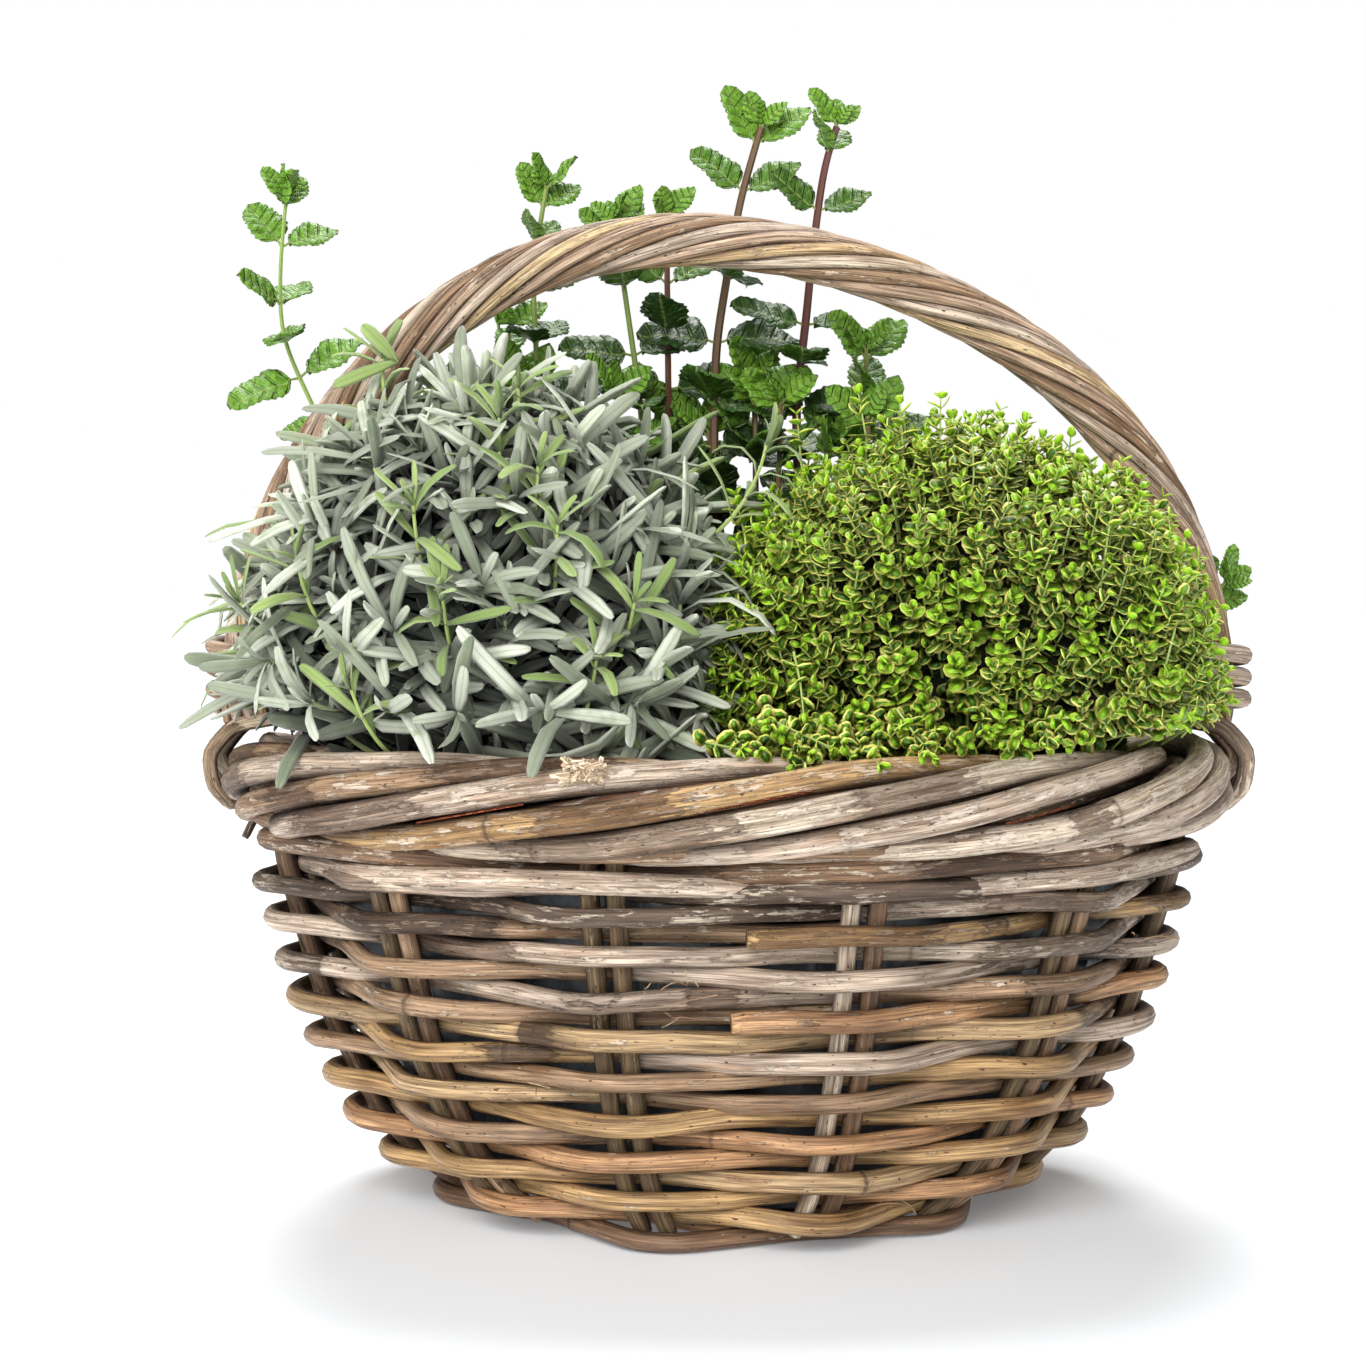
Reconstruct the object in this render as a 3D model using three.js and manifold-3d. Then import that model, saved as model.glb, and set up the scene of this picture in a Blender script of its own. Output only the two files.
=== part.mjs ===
// English lavender, thyme and mint growing together in an oval wicker basket with an arched handle.
// Millimetres, +Z up. The origin is the middle of the base's underside, +X is to the right along the handle,
// and the front of the basket faces -Y.

import * as THREE from "three";
import { mergeVertices } from "three/addons/utils/BufferGeometryUtils.js";
import Module from "manifold-3d";

const wasm = await Module();
wasm.setup();

// Clearance between pieces that touch on the real basket
const GAP = 0.4;

// Wall: half width and half depth of the oval of stake centres at the border, and how far it draws in below
const BORDER_HEIGHT = 165.5;
const TOP_HALF_WIDTH = 182.5;
const TOP_HALF_DEPTH = 144.5;
const TAPER_WIDTH = 57;
const TAPER_WIDTH_POWER = 1.7;
const TAPER_DEPTH = 41.5;
const TAPER_DEPTH_POWER = 1.45;
const FOOT_TUCK = 35;
const FOOT_TUCK_HEIGHT = 13.3;

// Stakes stand in pairs round the wall; their sections turn a little where the wall leans sideways (radians)
const STAKE_PAIRS = 12;
const STAKE_RADIUS = 3.9;
const STAKE_SPACING = 4;
const STAKE_HEIGHTS = [5.6, 16, 34, 75, 135, 170];
const STAKE_TURN = 0.26;
const CANE_SIDES = 5;

// Woven rows: each passes outside one pair and inside the next
const ROWS = 18;
const ROW_PITCH = 7.78;
const FIRST_ROW_HEIGHT = 4.1;
const ROD_RADIUS = 3.9;
const PASS_HALF_LENGTH = 10;
const INNER_BEND = 1.6;
const LEAN_EASE = 1.05;

// Rolled border: thick canes that wind round the rim as a rope
const BORDER_RODS = 4;
const BORDER_TURNS = 3;
const BORDER_ROD_RADIUS = 5.2;
const BORDER_ROLL_WIDTH = 16.7;
const BORDER_ROLL_HEIGHT = 16.8;
const BORDER_STEPS = 36;

// Handle: a rope of canes on an arch
const HANDLE_HALF_SPAN = 193.7;
const HANDLE_SPRING = 200;
const HANDLE_RISE = 180.7;
const HANDLE_FOOT = 187.8;
const HANDLE_LEAN = 5;
const HANDLE_RADIUS = 11.4;
const HANDLE_GROOVE = 2;
const HANDLE_STRANDS = 7;
const HANDLE_TWISTS = 4.2;
const HANDLE_STEPS = 33;

// Bindings of the handle's feet
const BINDING_RADIUS = 3.8;
const BINDING_PITCH = 8.6;
const BINDING_TURNS = 2.5;
const BINDING_TOP = 221;
const BINDING_STEPS = 6;

// Base, liner and soil
const BASE_THICKNESS = 11.5;
const BASE_CHAMFER = 3;
const BASE_EASE = 0.6;
const LINER_WALL = 1.6;
const LINER_TOP = 159;
const SOIL_TOP = 163;
const SOIL_CROWN = 9;
const ROOT_DEPTH = 38;
const BASE_SIDES = 24;
const LINER_SIDES = 16;
const SOIL_SIDE_GAP = 1.8;

// Mounds of foliage: middle, half sizes and rise of the leafy outline, the share of it that is inner core, and
// the blades: count, lowest slope, size, turn from straight down (0) to up (1), and how far they stand out
const LAVENDER = {
  middle: [-92, -44, 212],
  reach: [110, 84, 128],
  core: 0.76,
  blades: 140,
  lowest: -0.62,
  length: 50,
  halfWidth: 6,
  thickness: 2,
  turn: 1,
  swing: 0.45,
  stand: 0.6,
};
const THYME = {
  middle: [89, -42, 206],
  reach: [105, 86, 104],
  core: 0.85,
  blades: 156,
  lowest: -0.6,
  length: 25,
  halfWidth: 8,
  thickness: 2.4,
  turn: 1,
  swing: 0.4,
  stand: 0.7,
};
const CORE_LEVELS = [0.25, 0.62, 0.87, 0.98];
const CORE_SIDES = 12;
const CORE_LIFT = 3;
const CORE_MARGIN = 3;
const FLOOR_SHARE = 0.95;
const WAIST_DROP = 8;
const TRUNK_SHORT = 8;
const BLADE_BOW = 0.08;
const TRUNK_RADIUS = 7;
const MOUND_BORDER = -3;

// Long young lavender shoots that arch out of the mound: root, bend and tip
const SHOOTS = [
  [[-150, -62, 240], [-203, -64, 262], [-236, -62, 232]],
  [[-150, -58, 222], [-207, -60, 232], [-232, -58, 204]],
  [[-120, -60, 290], [-138, -66, 322], [-146, -72, 342]],
  [[-75, -60, 290], [-70, -70, 320], [-58, -78, 334]],
  [[-40, -50, 270], [-6, -62, 290], [16, -70, 306]],
  [[-50, -80, 225], [-20, -112, 222], [-3, -128, 208]],
];

// Mint stems, from the soil up: bends of the stem, then pairs of leaves as height, facing and length
const MINT_STEM_RADIUS = 1.9;
const MINT_LEAF_THICKNESS = 0.9;
const MINT_FRONT = 24;
const MINT_RISE = 0.35;
const MINT_TUFT = 12;
const MINT_TUFT_RISE = 1.2;
const MINT_STEMS = [
  {
    points: [[-110, 62, 130], [-110, 62, 178], [-176, 50, 322], [-187, 47, 345], [-184, 45, 398]],
    pairs: [[262, 40, 27], [312, 5, 25], [342, 10, 25], [370, 80, 19], [392, 0, 18]],
  },
  {
    points: [[-62, 66, 130], [-62, 66, 178], [-80, 62, 330], [-76, 58, 408]],
    pairs: [[235, 50, 28], [310, 10, 28], [350, 0, 26], [395, 20, 19], [405, 0, 14]],
  },
  {
    points: [[-30, 70, 130], [-30, 70, 178], [-34, 66, 300], [-26, 62, 396]],
    pairs: [[255, 70, 28], [325, 15, 27], [356, 5, 25], [392, 0, 16]],
  },
  {
    points: [[2, 66, 130], [2, 66, 178], [-5, 62, 330], [15, 58, 438]],
    pairs: [[285, 5, 28], [340, 10, 28], [364, 0, 27], [420, 0, 22], [436, 50, 20]],
  },
  {
    points: [[36, 66, 130], [36, 66, 178], [30, 62, 320], [46, 58, 436]],
    pairs: [[280, 20, 28], [318, 0, 28], [352, 0, 27], [405, 0, 23], [432, 40, 16]],
  },
  {
    points: [[112, 66, 130], [112, 66, 178], [194, 52, 232], [212, 46, 246]],
    pairs: [[222, 0, 22], [240, 80, 14]],
  },
];

const DEGREE = Math.PI / 180;
const UP = new THREE.Vector3(0, 0, 1);
const v3 = (x, y, z) => new THREE.Vector3(x, y, z);

// A repeatable series of draws between 0 and 1
function seededRandom(seed) {
  let state = seed;
  return () => {
    state = (Math.imul(state, 1664525) + 1013904223) >>> 0;
    return state / 4294967296;
  };
}

// Geometry from rings of points: each ring joins the next, and open ends are closed by a fan
function loftRings(rings, closed = false) {
  const sides = rings[0].length;
  const positions = rings.flat().flatMap((p) => [p.x, p.y, p.z]);
  const index = [];
  const spans = closed ? rings.length : rings.length - 1;
  for (let r = 0; r < spans; r++) {
    const low = r * sides;
    const high = ((r + 1) % rings.length) * sides;
    for (let s = 0; s < sides; s++) {
      const next = (s + 1) % sides;
      index.push(low + s, low + next, high + next);
      index.push(low + s, high + next, high + s);
    }
  }
  if (!closed) {
    const last = (rings.length - 1) * sides;
    for (let s = 1; s < sides - 1; s++) {
      index.push(0, s + 1, s);
      index.push(last, last + s, last + s + 1);
    }
  }
  const geometry = new THREE.BufferGeometry();
  geometry.setAttribute("position", new THREE.Float32BufferAttribute(positions, 3));
  geometry.setIndex(index);
  return geometry;
}

// Direction of a path at each of its points
function pathTangents(points, closed) {
  const n = points.length;
  return points.map((p, i) => {
    const before = closed ? points[(i + n - 1) % n] : points[Math.max(i - 1, 0)];
    const after = closed ? points[(i + 1) % n] : points[Math.min(i + 1, n - 1)];
    return after.clone().sub(before).normalize();
  });
}

// A cane of round section along a path; radii may change along it
function cane(points, radius, sides, closed = false, reference = UP) {
  const tangents = pathTangents(points, closed);
  const rings = points.map((p, i) => {
    const across = tangents[i].clone().cross(reference).normalize();
    const over = tangents[i].clone().cross(across).normalize();
    const r = typeof radius === "function" ? radius(i / (points.length - 1)) : radius;
    return Array.from({ length: sides }, (_, s) => {
      const a = (s / sides) * 2 * Math.PI;
      return p.clone().addScaledVector(across, r * Math.cos(a)).addScaledVector(over, r * Math.sin(a));
    });
  });
  return loftRings(rings, closed);
}

// Half width and half depth of the oval of stake centres at a height where the stakes bend
function bendSizes(z) {
  const left = Math.max(0, 1 - z / BORDER_HEIGHT);
  const tuck = FOOT_TUCK * Math.exp(-z / FOOT_TUCK_HEIGHT);
  return [
    TOP_HALF_WIDTH - TAPER_WIDTH * left ** TAPER_WIDTH_POWER - tuck,
    TOP_HALF_DEPTH - TAPER_DEPTH * left ** TAPER_DEPTH_POWER,
  ];
}

// The same at any height: the wall is straight between two bends
function wallSizes(z) {
  const above = STAKE_HEIGHTS.findIndex((height) => height > z);
  const i = above < 0 ? STAKE_HEIGHTS.length - 1 : Math.max(1, above);
  const [low, high] = [STAKE_HEIGHTS[i - 1], STAKE_HEIGHTS[i]];
  const share = (z - low) / (high - low);
  const ends = bendSizes(high);
  return bendSizes(low).map((size, k) => size + (ends[k] - size) * share);
}

// A point on an oval, and the directions outwards and along it there
function ovalPoint(angle, halfWidth, halfDepth) {
  const point = v3(halfWidth * Math.cos(angle), halfDepth * Math.sin(angle), 0);
  const outward = v3(halfDepth * Math.cos(angle), halfWidth * Math.sin(angle), 0).normalize();
  const along = v3(-outward.y, outward.x, 0);
  return { point, outward, along };
}

// The wall at an angle and height: its point, its directions, and how far it leans outwards
function wallAt(angle, z) {
  const here = ovalPoint(angle, ...wallSizes(z));
  const above = ovalPoint(angle, ...wallSizes(z + 0.1));
  here.point.z = z;
  here.lean = Math.atan(above.point.clone().setZ(z).sub(here.point).dot(here.outward) / 0.1);
  return here;
}

const pairAngle = (pair) => ((pair + 0.5) * 2 * Math.PI) / STAKE_PAIRS;

// How far the section of a cane reaches towards a side, for a cane with a corner at angle 0
function sectionReach(radius, angle) {
  const step = (2 * Math.PI) / CANE_SIDES;
  return radius * Math.cos(angle - Math.round(angle / step) * step);
}

// How far level a woven cane's middle lies from the stakes, outside (side 1) or inside (side -1) the wall
function weaveOffset(lean, side) {
  const touching = side > 0
    ? sectionReach(ROD_RADIUS, Math.PI - lean) + sectionReach(STAKE_RADIUS, Math.PI - STAKE_TURN)
    : sectionReach(ROD_RADIUS, lean) + STAKE_RADIUS + INNER_BEND;
  return (touching + GAP + LEAN_EASE * lean) / Math.cos(lean);
}

// The middle of a woven cane where it passes a pair of stakes, outside (side 1) or inside (side -1)
function passPoint(row, pair, side, along) {
  const wall = wallAt(pairAngle(pair), FIRST_ROW_HEIGHT + row * ROW_PITCH);
  return wall.point
    .addScaledVector(wall.outward, side * weaveOffset(wall.lean, side))
    .addScaledVector(wall.along, along);
}

function rowGeometry(row) {
  const points = [];
  for (let pair = 0; pair < STAKE_PAIRS; pair++) {
    if ((pair + row) % 2) {
      points.push(passPoint(row, pair, -1, 0));
    } else {
      points.push(passPoint(row, pair, 1, -PASS_HALF_LENGTH));
      points.push(passPoint(row, pair, 1, PASS_HALF_LENGTH));
    }
  }
  return cane(points, ROD_RADIUS, CANE_SIDES, true);
}

function stakeGeometry(pair, side) {
  const { along } = wallAt(pairAngle(pair), BORDER_HEIGHT);
  const middle = STAKE_HEIGHTS.map((z) => wallAt(pairAngle(pair), z).point);
  const points = pathTangents(middle, false).map((tangent, i) => {
    const square = Math.sqrt(1 - along.dot(tangent) ** 2);
    return middle[i].clone().addScaledVector(along, (side * STAKE_SPACING) / square);
  });
  return cane(points, STAKE_RADIUS, CANE_SIDES, false, along);
}

// Border canes wind round the ring of stake tops; they cross its top and underside between the pairs
function borderGeometry(rod) {
  const points = Array.from({ length: BORDER_STEPS }, (_, i) => {
    const angle = (i / BORDER_STEPS) * 2 * Math.PI;
    const roll = BORDER_TURNS * angle + (rod / BORDER_RODS) * 2 * Math.PI;
    const { point, outward } = ovalPoint(angle, TOP_HALF_WIDTH, TOP_HALF_DEPTH);
    return point
      .addScaledVector(outward, BORDER_ROLL_WIDTH * Math.cos(roll))
      .add(v3(0, 0, BORDER_HEIGHT + BORDER_ROLL_HEIGHT * Math.sin(roll)));
  });
  return cane(points, BORDER_ROD_RADIUS, 5, true);
}

// The middle line of the handle, from the left foot (0) over the top to the right foot (1)
function handlePoint(t) {
  const footLength = HANDLE_SPRING - HANDLE_FOOT;
  const archLength = (Math.PI / 2) * (HANDLE_HALF_SPAN + HANDLE_RISE);
  const travel = t * (archLength + 2 * footLength);
  if (travel < footLength) return v3(-HANDLE_HALF_SPAN, 0, HANDLE_FOOT + travel);
  if (travel > footLength + archLength) {
    return v3(HANDLE_HALF_SPAN, 0, HANDLE_SPRING - (travel - footLength - archLength));
  }
  const a = Math.PI * (1 - (travel - footLength) / archLength);
  const x = HANDLE_HALF_SPAN * Math.cos(a);
  const lean = HANDLE_LEAN * Math.sin((Math.PI * x) / HANDLE_HALF_SPAN);
  return v3(x, 0, HANDLE_SPRING + HANDLE_RISE * Math.sin(a) - lean);
}

// The rope: one fluted bar, a crest for each strand, twisted along the arch
function handleGeometry() {
  const points = Array.from({ length: HANDLE_STEPS + 1 }, (_, i) => handlePoint(i / HANDLE_STEPS));
  const tangents = pathTangents(points, false);
  const corners = HANDLE_STRANDS * 2;
  const rings = points.map((p, i) => {
    const across = v3(0, 1, 0);
    const over = across.clone().cross(tangents[i]).normalize();
    const twist = (i / HANDLE_STEPS) * HANDLE_TWISTS * 2 * Math.PI;
    return Array.from({ length: corners }, (_, c) => {
      const a = twist + (c / corners) * 2 * Math.PI;
      const r = HANDLE_RADIUS - (c % 2 ? HANDLE_GROOVE : 0);
      return p.clone().addScaledVector(over, r * Math.cos(a)).addScaledVector(across, r * Math.sin(a));
    });
  });
  return loftRings(rings);
}

// A binding cane: wound round the foot from the top down, then over the outside of the border and back up
function bindingGeometry(side) {
  const ring = (HANDLE_RADIUS + BINDING_RADIUS) / Math.cos(Math.PI / BINDING_STEPS);
  const steps = Math.round(BINDING_TURNS * BINDING_STEPS);
  const points = [];
  for (let i = 0; i <= steps; i++) {
    const turn = i / BINDING_STEPS;
    const z = BINDING_TOP - BINDING_PITCH * turn;
    const above = Math.max(0, z - HANDLE_SPRING) / HANDLE_RISE;
    const middle = HANDLE_HALF_SPAN * Math.sqrt(1 - above * above);
    const a = (turn - BINDING_TURNS) * 2 * Math.PI;
    points.push(v3(side * (middle + ring * Math.cos(a)), ring * Math.sin(a), z));
  }
  const outside = TOP_HALF_WIDTH + BORDER_ROLL_WIDTH + BORDER_ROD_RADIUS + GAP + BINDING_RADIUS;
  points.push(v3(side * outside, 0, 182), v3(side * outside, -2, 168), v3(side * outside, -5, 156));
  points.push(v3(side * outside, -10, 151), v3(side * (outside - 0.3), -16, 155));
  points.push(v3(side * (outside - 0.7), -20, 166), v3(side * (outside - 0.9), -22, 178));
  return cane(points, BINDING_RADIUS, 5, false, v3(0.1, 1, 0.2).normalize());
}

// A ring of points just inside the woven rows that lie at a height and below, or inside the border
function insideRing(height, inset, z = height, sides = LINER_SIDES) {
  const rowHeight = Math.max(FIRST_ROW_HEIGHT, height - ROD_RADIUS);
  const roll = BORDER_ROLL_WIDTH + BORDER_ROD_RADIUS + GAP;
  return Array.from({ length: sides }, (_, s) => {
    const angle = (s / sides) * 2 * Math.PI;
    const wall = wallAt(angle, rowHeight);
    const inside = weaveOffset(wall.lean, -1) + ROD_RADIUS + GAP;
    const weave = wall.point.clone().addScaledVector(wall.outward, -inside);
    const rim = ovalPoint(angle, TOP_HALF_WIDTH - roll, TOP_HALF_DEPTH - roll).point;
    const nearer = Math.hypot(rim.x, rim.y) < Math.hypot(weave.x, weave.y) ? rim : weave;
    return nearer.addScaledVector(wall.outward, -inset).setZ(z);
  });
}

function baseGeometry() {
  const edge = (inset, z) => insideRing(FIRST_ROW_HEIGHT, inset - BASE_EASE, z, BASE_SIDES);
  return loftRings([edge(BASE_CHAMFER, 0), edge(0, BASE_CHAMFER), edge(0, BASE_THICKNESS - BASE_CHAMFER),
    edge(BASE_CHAMFER, BASE_THICKNESS)]);
}

const LINER_FLOOR = BASE_THICKNESS + GAP;
const LINER_HEIGHTS = [34, 70, 110, LINER_TOP];

function linerGeometry() {
  const outer = LINER_HEIGHTS.map((z) => insideRing(z, 0));
  const inner = LINER_HEIGHTS.map((z) => insideRing(z, LINER_WALL)).reverse();
  const floor = insideRing(LINER_FLOOR, 0);
  const innerFloor = insideRing(LINER_FLOOR, LINER_WALL, LINER_FLOOR + LINER_WALL);
  return loftRings([floor, ...outer, ...inner, innerFloor]);
}

// Soil fills the liner and crowns a little above it
function soilGeometry() {
  const clear = LINER_WALL + SOIL_SIDE_GAP;
  const floor = insideRing(LINER_FLOOR, 2 * clear, LINER_FLOOR + LINER_WALL + GAP);
  const side = LINER_HEIGHTS.map((z) => insideRing(z, clear));
  const crown = [[1, 0], [0.6, 0.7], [0.2, 1]].map(([share, rise]) =>
    insideRing(LINER_TOP, clear).map((p) => v3(p.x * share, p.y * share, SOIL_TOP + SOIL_CROWN * rise)));
  return loftRings([floor, ...side, ...crown]);
}

// The soil with a plain hole for each stem
function pottedSoilGeometry() {
  const holes = [
    ...[LAVENDER, THYME].map(({ middle }) => [middle[0], middle[1], TRUNK_RADIUS]),
    ...MINT_STEMS.map(({ points }) => [points[0][0], points[0][1], MINT_STEM_RADIUS]),
  ];
  const drill = ([x, y, radius]) => {
    const line = [v3(x, y, SOIL_TOP - ROOT_DEPTH), v3(x, y, SOIL_TOP + 2 * SOIL_CROWN)];
    return solidFrom(cane(line, radius + 2 * GAP, 6, false, v3(1, 0, 0)));
  };
  const soil = holes.map(drill).reduce((left, hole) => left.subtract(hole), solidFrom(soilGeometry()));
  return geometryFrom(soil);
}

const MERGE_DISTANCE = 1e-3;
const SIMPLIFY_DISTANCE = 0.08;

// A solid for joining and cutting
function solidFrom(geometry) {
  const bare = new THREE.BufferGeometry();
  bare.setAttribute("position", geometry.getAttribute("position"));
  bare.setIndex(geometry.index);
  const merged = mergeVertices(bare, MERGE_DISTANCE);
  return new wasm.Manifold(new wasm.Mesh({
    numProp: 3,
    vertProperties: merged.attributes.position.array,
    triVerts: new Uint32Array(merged.index.array),
  }));
}

function geometryFrom(solid) {
  const mesh = solid.getMesh();
  const geometry = new THREE.BufferGeometry();
  geometry.setAttribute("position", new THREE.BufferAttribute(mesh.vertProperties, 3));
  geometry.setIndex(new THREE.BufferAttribute(mesh.triVerts, 1));
  return geometry;
}

function largestBody(solid) {
  return solid.decompose().reduce((best, body) => (body.volume() > best.volume() ? body : best));
}

// Joins solids, then keeps the largest body, so that loose scraps and sealed hollows go
function joined(geometries) {
  const whole = geometries.map(solidFrom).reduce((sum, next) => sum.add(next));
  const bare = geometryFrom(largestBody(whole.simplify(SIMPLIFY_DISTANCE)));
  return largestBody(solidFrom(bare));
}

// Room that foliage keeps clear of: the handle and its bindings, the border, and what lies outside the rim
function isClear(p, margin) {
  const footTop = BINDING_TOP + BINDING_RADIUS;
  const wide = p.z < footTop ? HANDLE_RADIUS + 2 * BINDING_RADIUS + 1 : HANDLE_RADIUS;
  for (let i = 0; i <= 60; i++) {
    if (handlePoint(i / 60).distanceTo(p) < wide + margin) return false;
  }
  const roll = BORDER_ROLL_HEIGHT + BORDER_ROD_RADIUS;
  if (p.z > BORDER_HEIGHT + roll + margin) return true;
  const rollWidth = BORDER_ROLL_WIDTH + BORDER_ROD_RADIUS;
  const halfWidth = TOP_HALF_WIDTH - rollWidth - margin;
  const halfDepth = TOP_HALF_DEPTH - rollWidth - margin;
  return (p.x / halfWidth) ** 2 + (p.y / halfDepth) ** 2 < 1 && p.z > SOIL_TOP + SOIL_CROWN;
}

// A leaf blade: pointed root inside the plant, widest at its bend, a ridge along its outer face, pointed tip
function bladeGeometry(root, bend, tip, halfWidth, thickness, outward = UP) {
  const along = tip.clone().sub(root).normalize();
  const across = along.clone().cross(outward).normalize();
  const over = across.clone().cross(along).normalize();
  const points = [
    root,
    bend.clone().addScaledVector(across, halfWidth),
    bend.clone().addScaledVector(over, thickness),
    bend.clone().addScaledVector(across, -halfWidth),
    tip,
  ];
  const index = [0, 1, 2, 0, 2, 3, 4, 2, 1, 4, 3, 2, 0, 3, 1, 4, 1, 3];
  const geometry = new THREE.BufferGeometry();
  const positions = points.flatMap((p) => [p.x, p.y, p.z]);
  geometry.setAttribute("position", new THREE.Float32BufferAttribute(positions, 3));
  geometry.setIndex(index);
  return geometry;
}

// Evenly spread directions over the part of a ball above a lowest slope
function spreadDirections(count, lowest) {
  const golden = Math.PI * (3 - Math.sqrt(5));
  return Array.from({ length: count }, (_, i) => {
    const z = 1 - ((i + 0.5) / count) * (1 - lowest);
    const r = Math.sqrt(1 - z * z);
    return v3(r * Math.cos(i * golden), r * Math.sin(i * golden), z);
  });
}

// A place on the leafy outline of a mound, or at a share of the way out to it
function onMound(mound, direction, share) {
  const [cx, cy, cz] = mound.middle;
  const [rx, ry, rise] = mound.reach;
  const height = direction.z > 0 ? rise : cz - SOIL_TOP - SOIL_CROWN;
  return v3(cx + rx * share * direction.x, cy + ry * share * direction.y, cz + height * share * direction.z);
}

// The inner core of a mound: it fills the basket up to the border, domes over, and has a stem in the soil
function coreGeometries(mound) {
  const [cx, cy, cz] = mound.middle;
  const floor = SOIL_TOP + SOIL_CROWN + CORE_LIFT;
  const dome = CORE_LEVELS.map((level) => {
    return [onMound(mound, v3(0, 0, level), mound.core).z, Math.sqrt(1 - level * level)];
  });
  const rings = [[floor, FLOOR_SHARE], [cz - WAIST_DROP, 1], ...dome].map(([z, share]) => {
    return Array.from({ length: CORE_SIDES }, (_, s) => {
      const a = (s / CORE_SIDES) * 2 * Math.PI;
      let p = v3(0, 0, 0);
      for (let width = share; width > share / 3; width -= share / 30) {
        p = onMound(mound, v3(Math.cos(a), Math.sin(a), 0), mound.core * width).setZ(z);
        if (isClear(p, CORE_MARGIN)) break;
      }
      return p;
    });
  });
  const trunk = [v3(cx, cy, SOIL_TOP - ROOT_DEPTH + TRUNK_SHORT), v3(cx, cy, cz)];
  return [loftRings(rings), cane(trunk, TRUNK_RADIUS, 6, false, v3(1, 0, 0))];
}

// Whether a blade stays clear of the basket, and on its own side of the line between the two mounds
function bladeIsClear(mound, root, bend, tip) {
  const fromBorder = [bend, tip].map((p) => (p.x - MOUND_BORDER) * Math.sign(mound.middle[0]));
  if (Math.min(...fromBorder) < mound.halfWidth + 1) return false;
  return isClear(root, 3) && isClear(bend, mound.halfWidth + 2) && isClear(tip, 2);
}

// A direction along the surface of a mound, turned from straight down the slope by a share of a half circle
function alongSurface(direction, turn) {
  const sideways = direction.clone().cross(UP).normalize();
  const down = direction.clone().cross(sideways).normalize();
  return down.multiplyScalar(Math.cos(turn * Math.PI)).addScaledVector(sideways, Math.sin(turn * Math.PI));
}

// Blades spread evenly over a mound; each stands out of the core and leans along its surface
function moundBlades(mound, random) {
  const blades = [];
  for (const direction of spreadDirections(mound.blades, mound.lowest)) {
    for (let attempt = 0; attempt < 10; attempt++) {
      const length = mound.length * (0.8 + 0.4 * random()) * (1 - 0.05 * attempt);
      const turn = mound.turn + mound.swing * (2 * random() - 1);
      const heading = direction.clone().multiplyScalar(mound.stand)
        .addScaledVector(alongSurface(direction, turn), 1).normalize();
      const root = onMound(mound, direction, mound.core * 0.9);
      const tip = root.clone().addScaledVector(heading, length);
      const bend = root.clone().lerp(tip, 0.5).addScaledVector(direction, length * BLADE_BOW);
      if (!bladeIsClear(mound, root, bend, tip)) continue;
      blades.push(bladeGeometry(root, bend, tip, mound.halfWidth, mound.thickness, direction));
      break;
    }
  }
  return blades;
}

// Lavender: long narrow blades that hang out of the mound, and a few longer young shoots
function lavenderGeometry() {
  const pieces = [...coreGeometries(LAVENDER), ...moundBlades(LAVENDER, seededRandom(7))];
  for (const [root, bend, tip] of SHOOTS.map((shoot) => shoot.map((p) => v3(...p)))) {
    pieces.push(bladeGeometry(root, bend, tip, LAVENDER.halfWidth * 0.8, LAVENDER.thickness));
  }
  return geometryFrom(joined(pieces));
}

// Thyme: short broad leaves, larger than life, that cover the mound like raised scales
function thymeGeometry() {
  return geometryFrom(joined([...coreGeometries(THYME), ...moundBlades(THYME, seededRandom(19))]));
}

// A toothed mint leaf, folded a little along its midrib
function mintLeafGeometry(base, heading, length) {
  const across = heading.clone().cross(UP).normalize();
  const over = across.clone().cross(heading).normalize();
  const halfWidth = length * 0.36;
  const side = [[0.3, 0.95], [0.5, 0.72], [0.62, 0.9]];
  const outline = [[0, 0], ...side, [1, 0], ...side.map(([s, w]) => [s, -w]).reverse()];
  const place = (s, w, lift) => base.clone()
    .addScaledVector(heading, s * length)
    .addScaledVector(across, w * halfWidth)
    .addScaledVector(over, lift + Math.abs(w) * halfWidth * 0.3 - s * s * length * 0.12);
  const low = outline.map(([s, w]) => place(s, w, 0));
  const high = outline.map(([s, w]) => place(s, w, MINT_LEAF_THICKNESS));
  const middles = [place(0.5, 0, 0), place(0.5, 0, MINT_LEAF_THICKNESS)];
  const n = outline.length;
  const index = [];
  for (let i = 0; i < n; i++) {
    const next = (i + 1) % n;
    index.push(2 * n, next, i, 2 * n + 1, n + i, n + next);
    index.push(i, n + next, n + i, i, next, n + next);
  }
  const geometry = new THREE.BufferGeometry();
  const positions = [...low, ...high, ...middles].flatMap((p) => [p.x, p.y, p.z]);
  geometry.setAttribute("position", new THREE.Float32BufferAttribute(positions, 3));
  geometry.setIndex(index);
  return geometry;
}

// The point of a bent stem at a height
function stemPoint(points, z) {
  const i = Math.max(1, points.findIndex((p) => p[2] > z));
  const [low, high] = points[points.length - 1][2] <= z ? points.slice(-2) : [points[i - 1], points[i]];
  const share = Math.min(1, (z - low[2]) / (high[2] - low[2]));
  return v3(...low).lerp(v3(...high), share);
}

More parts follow.
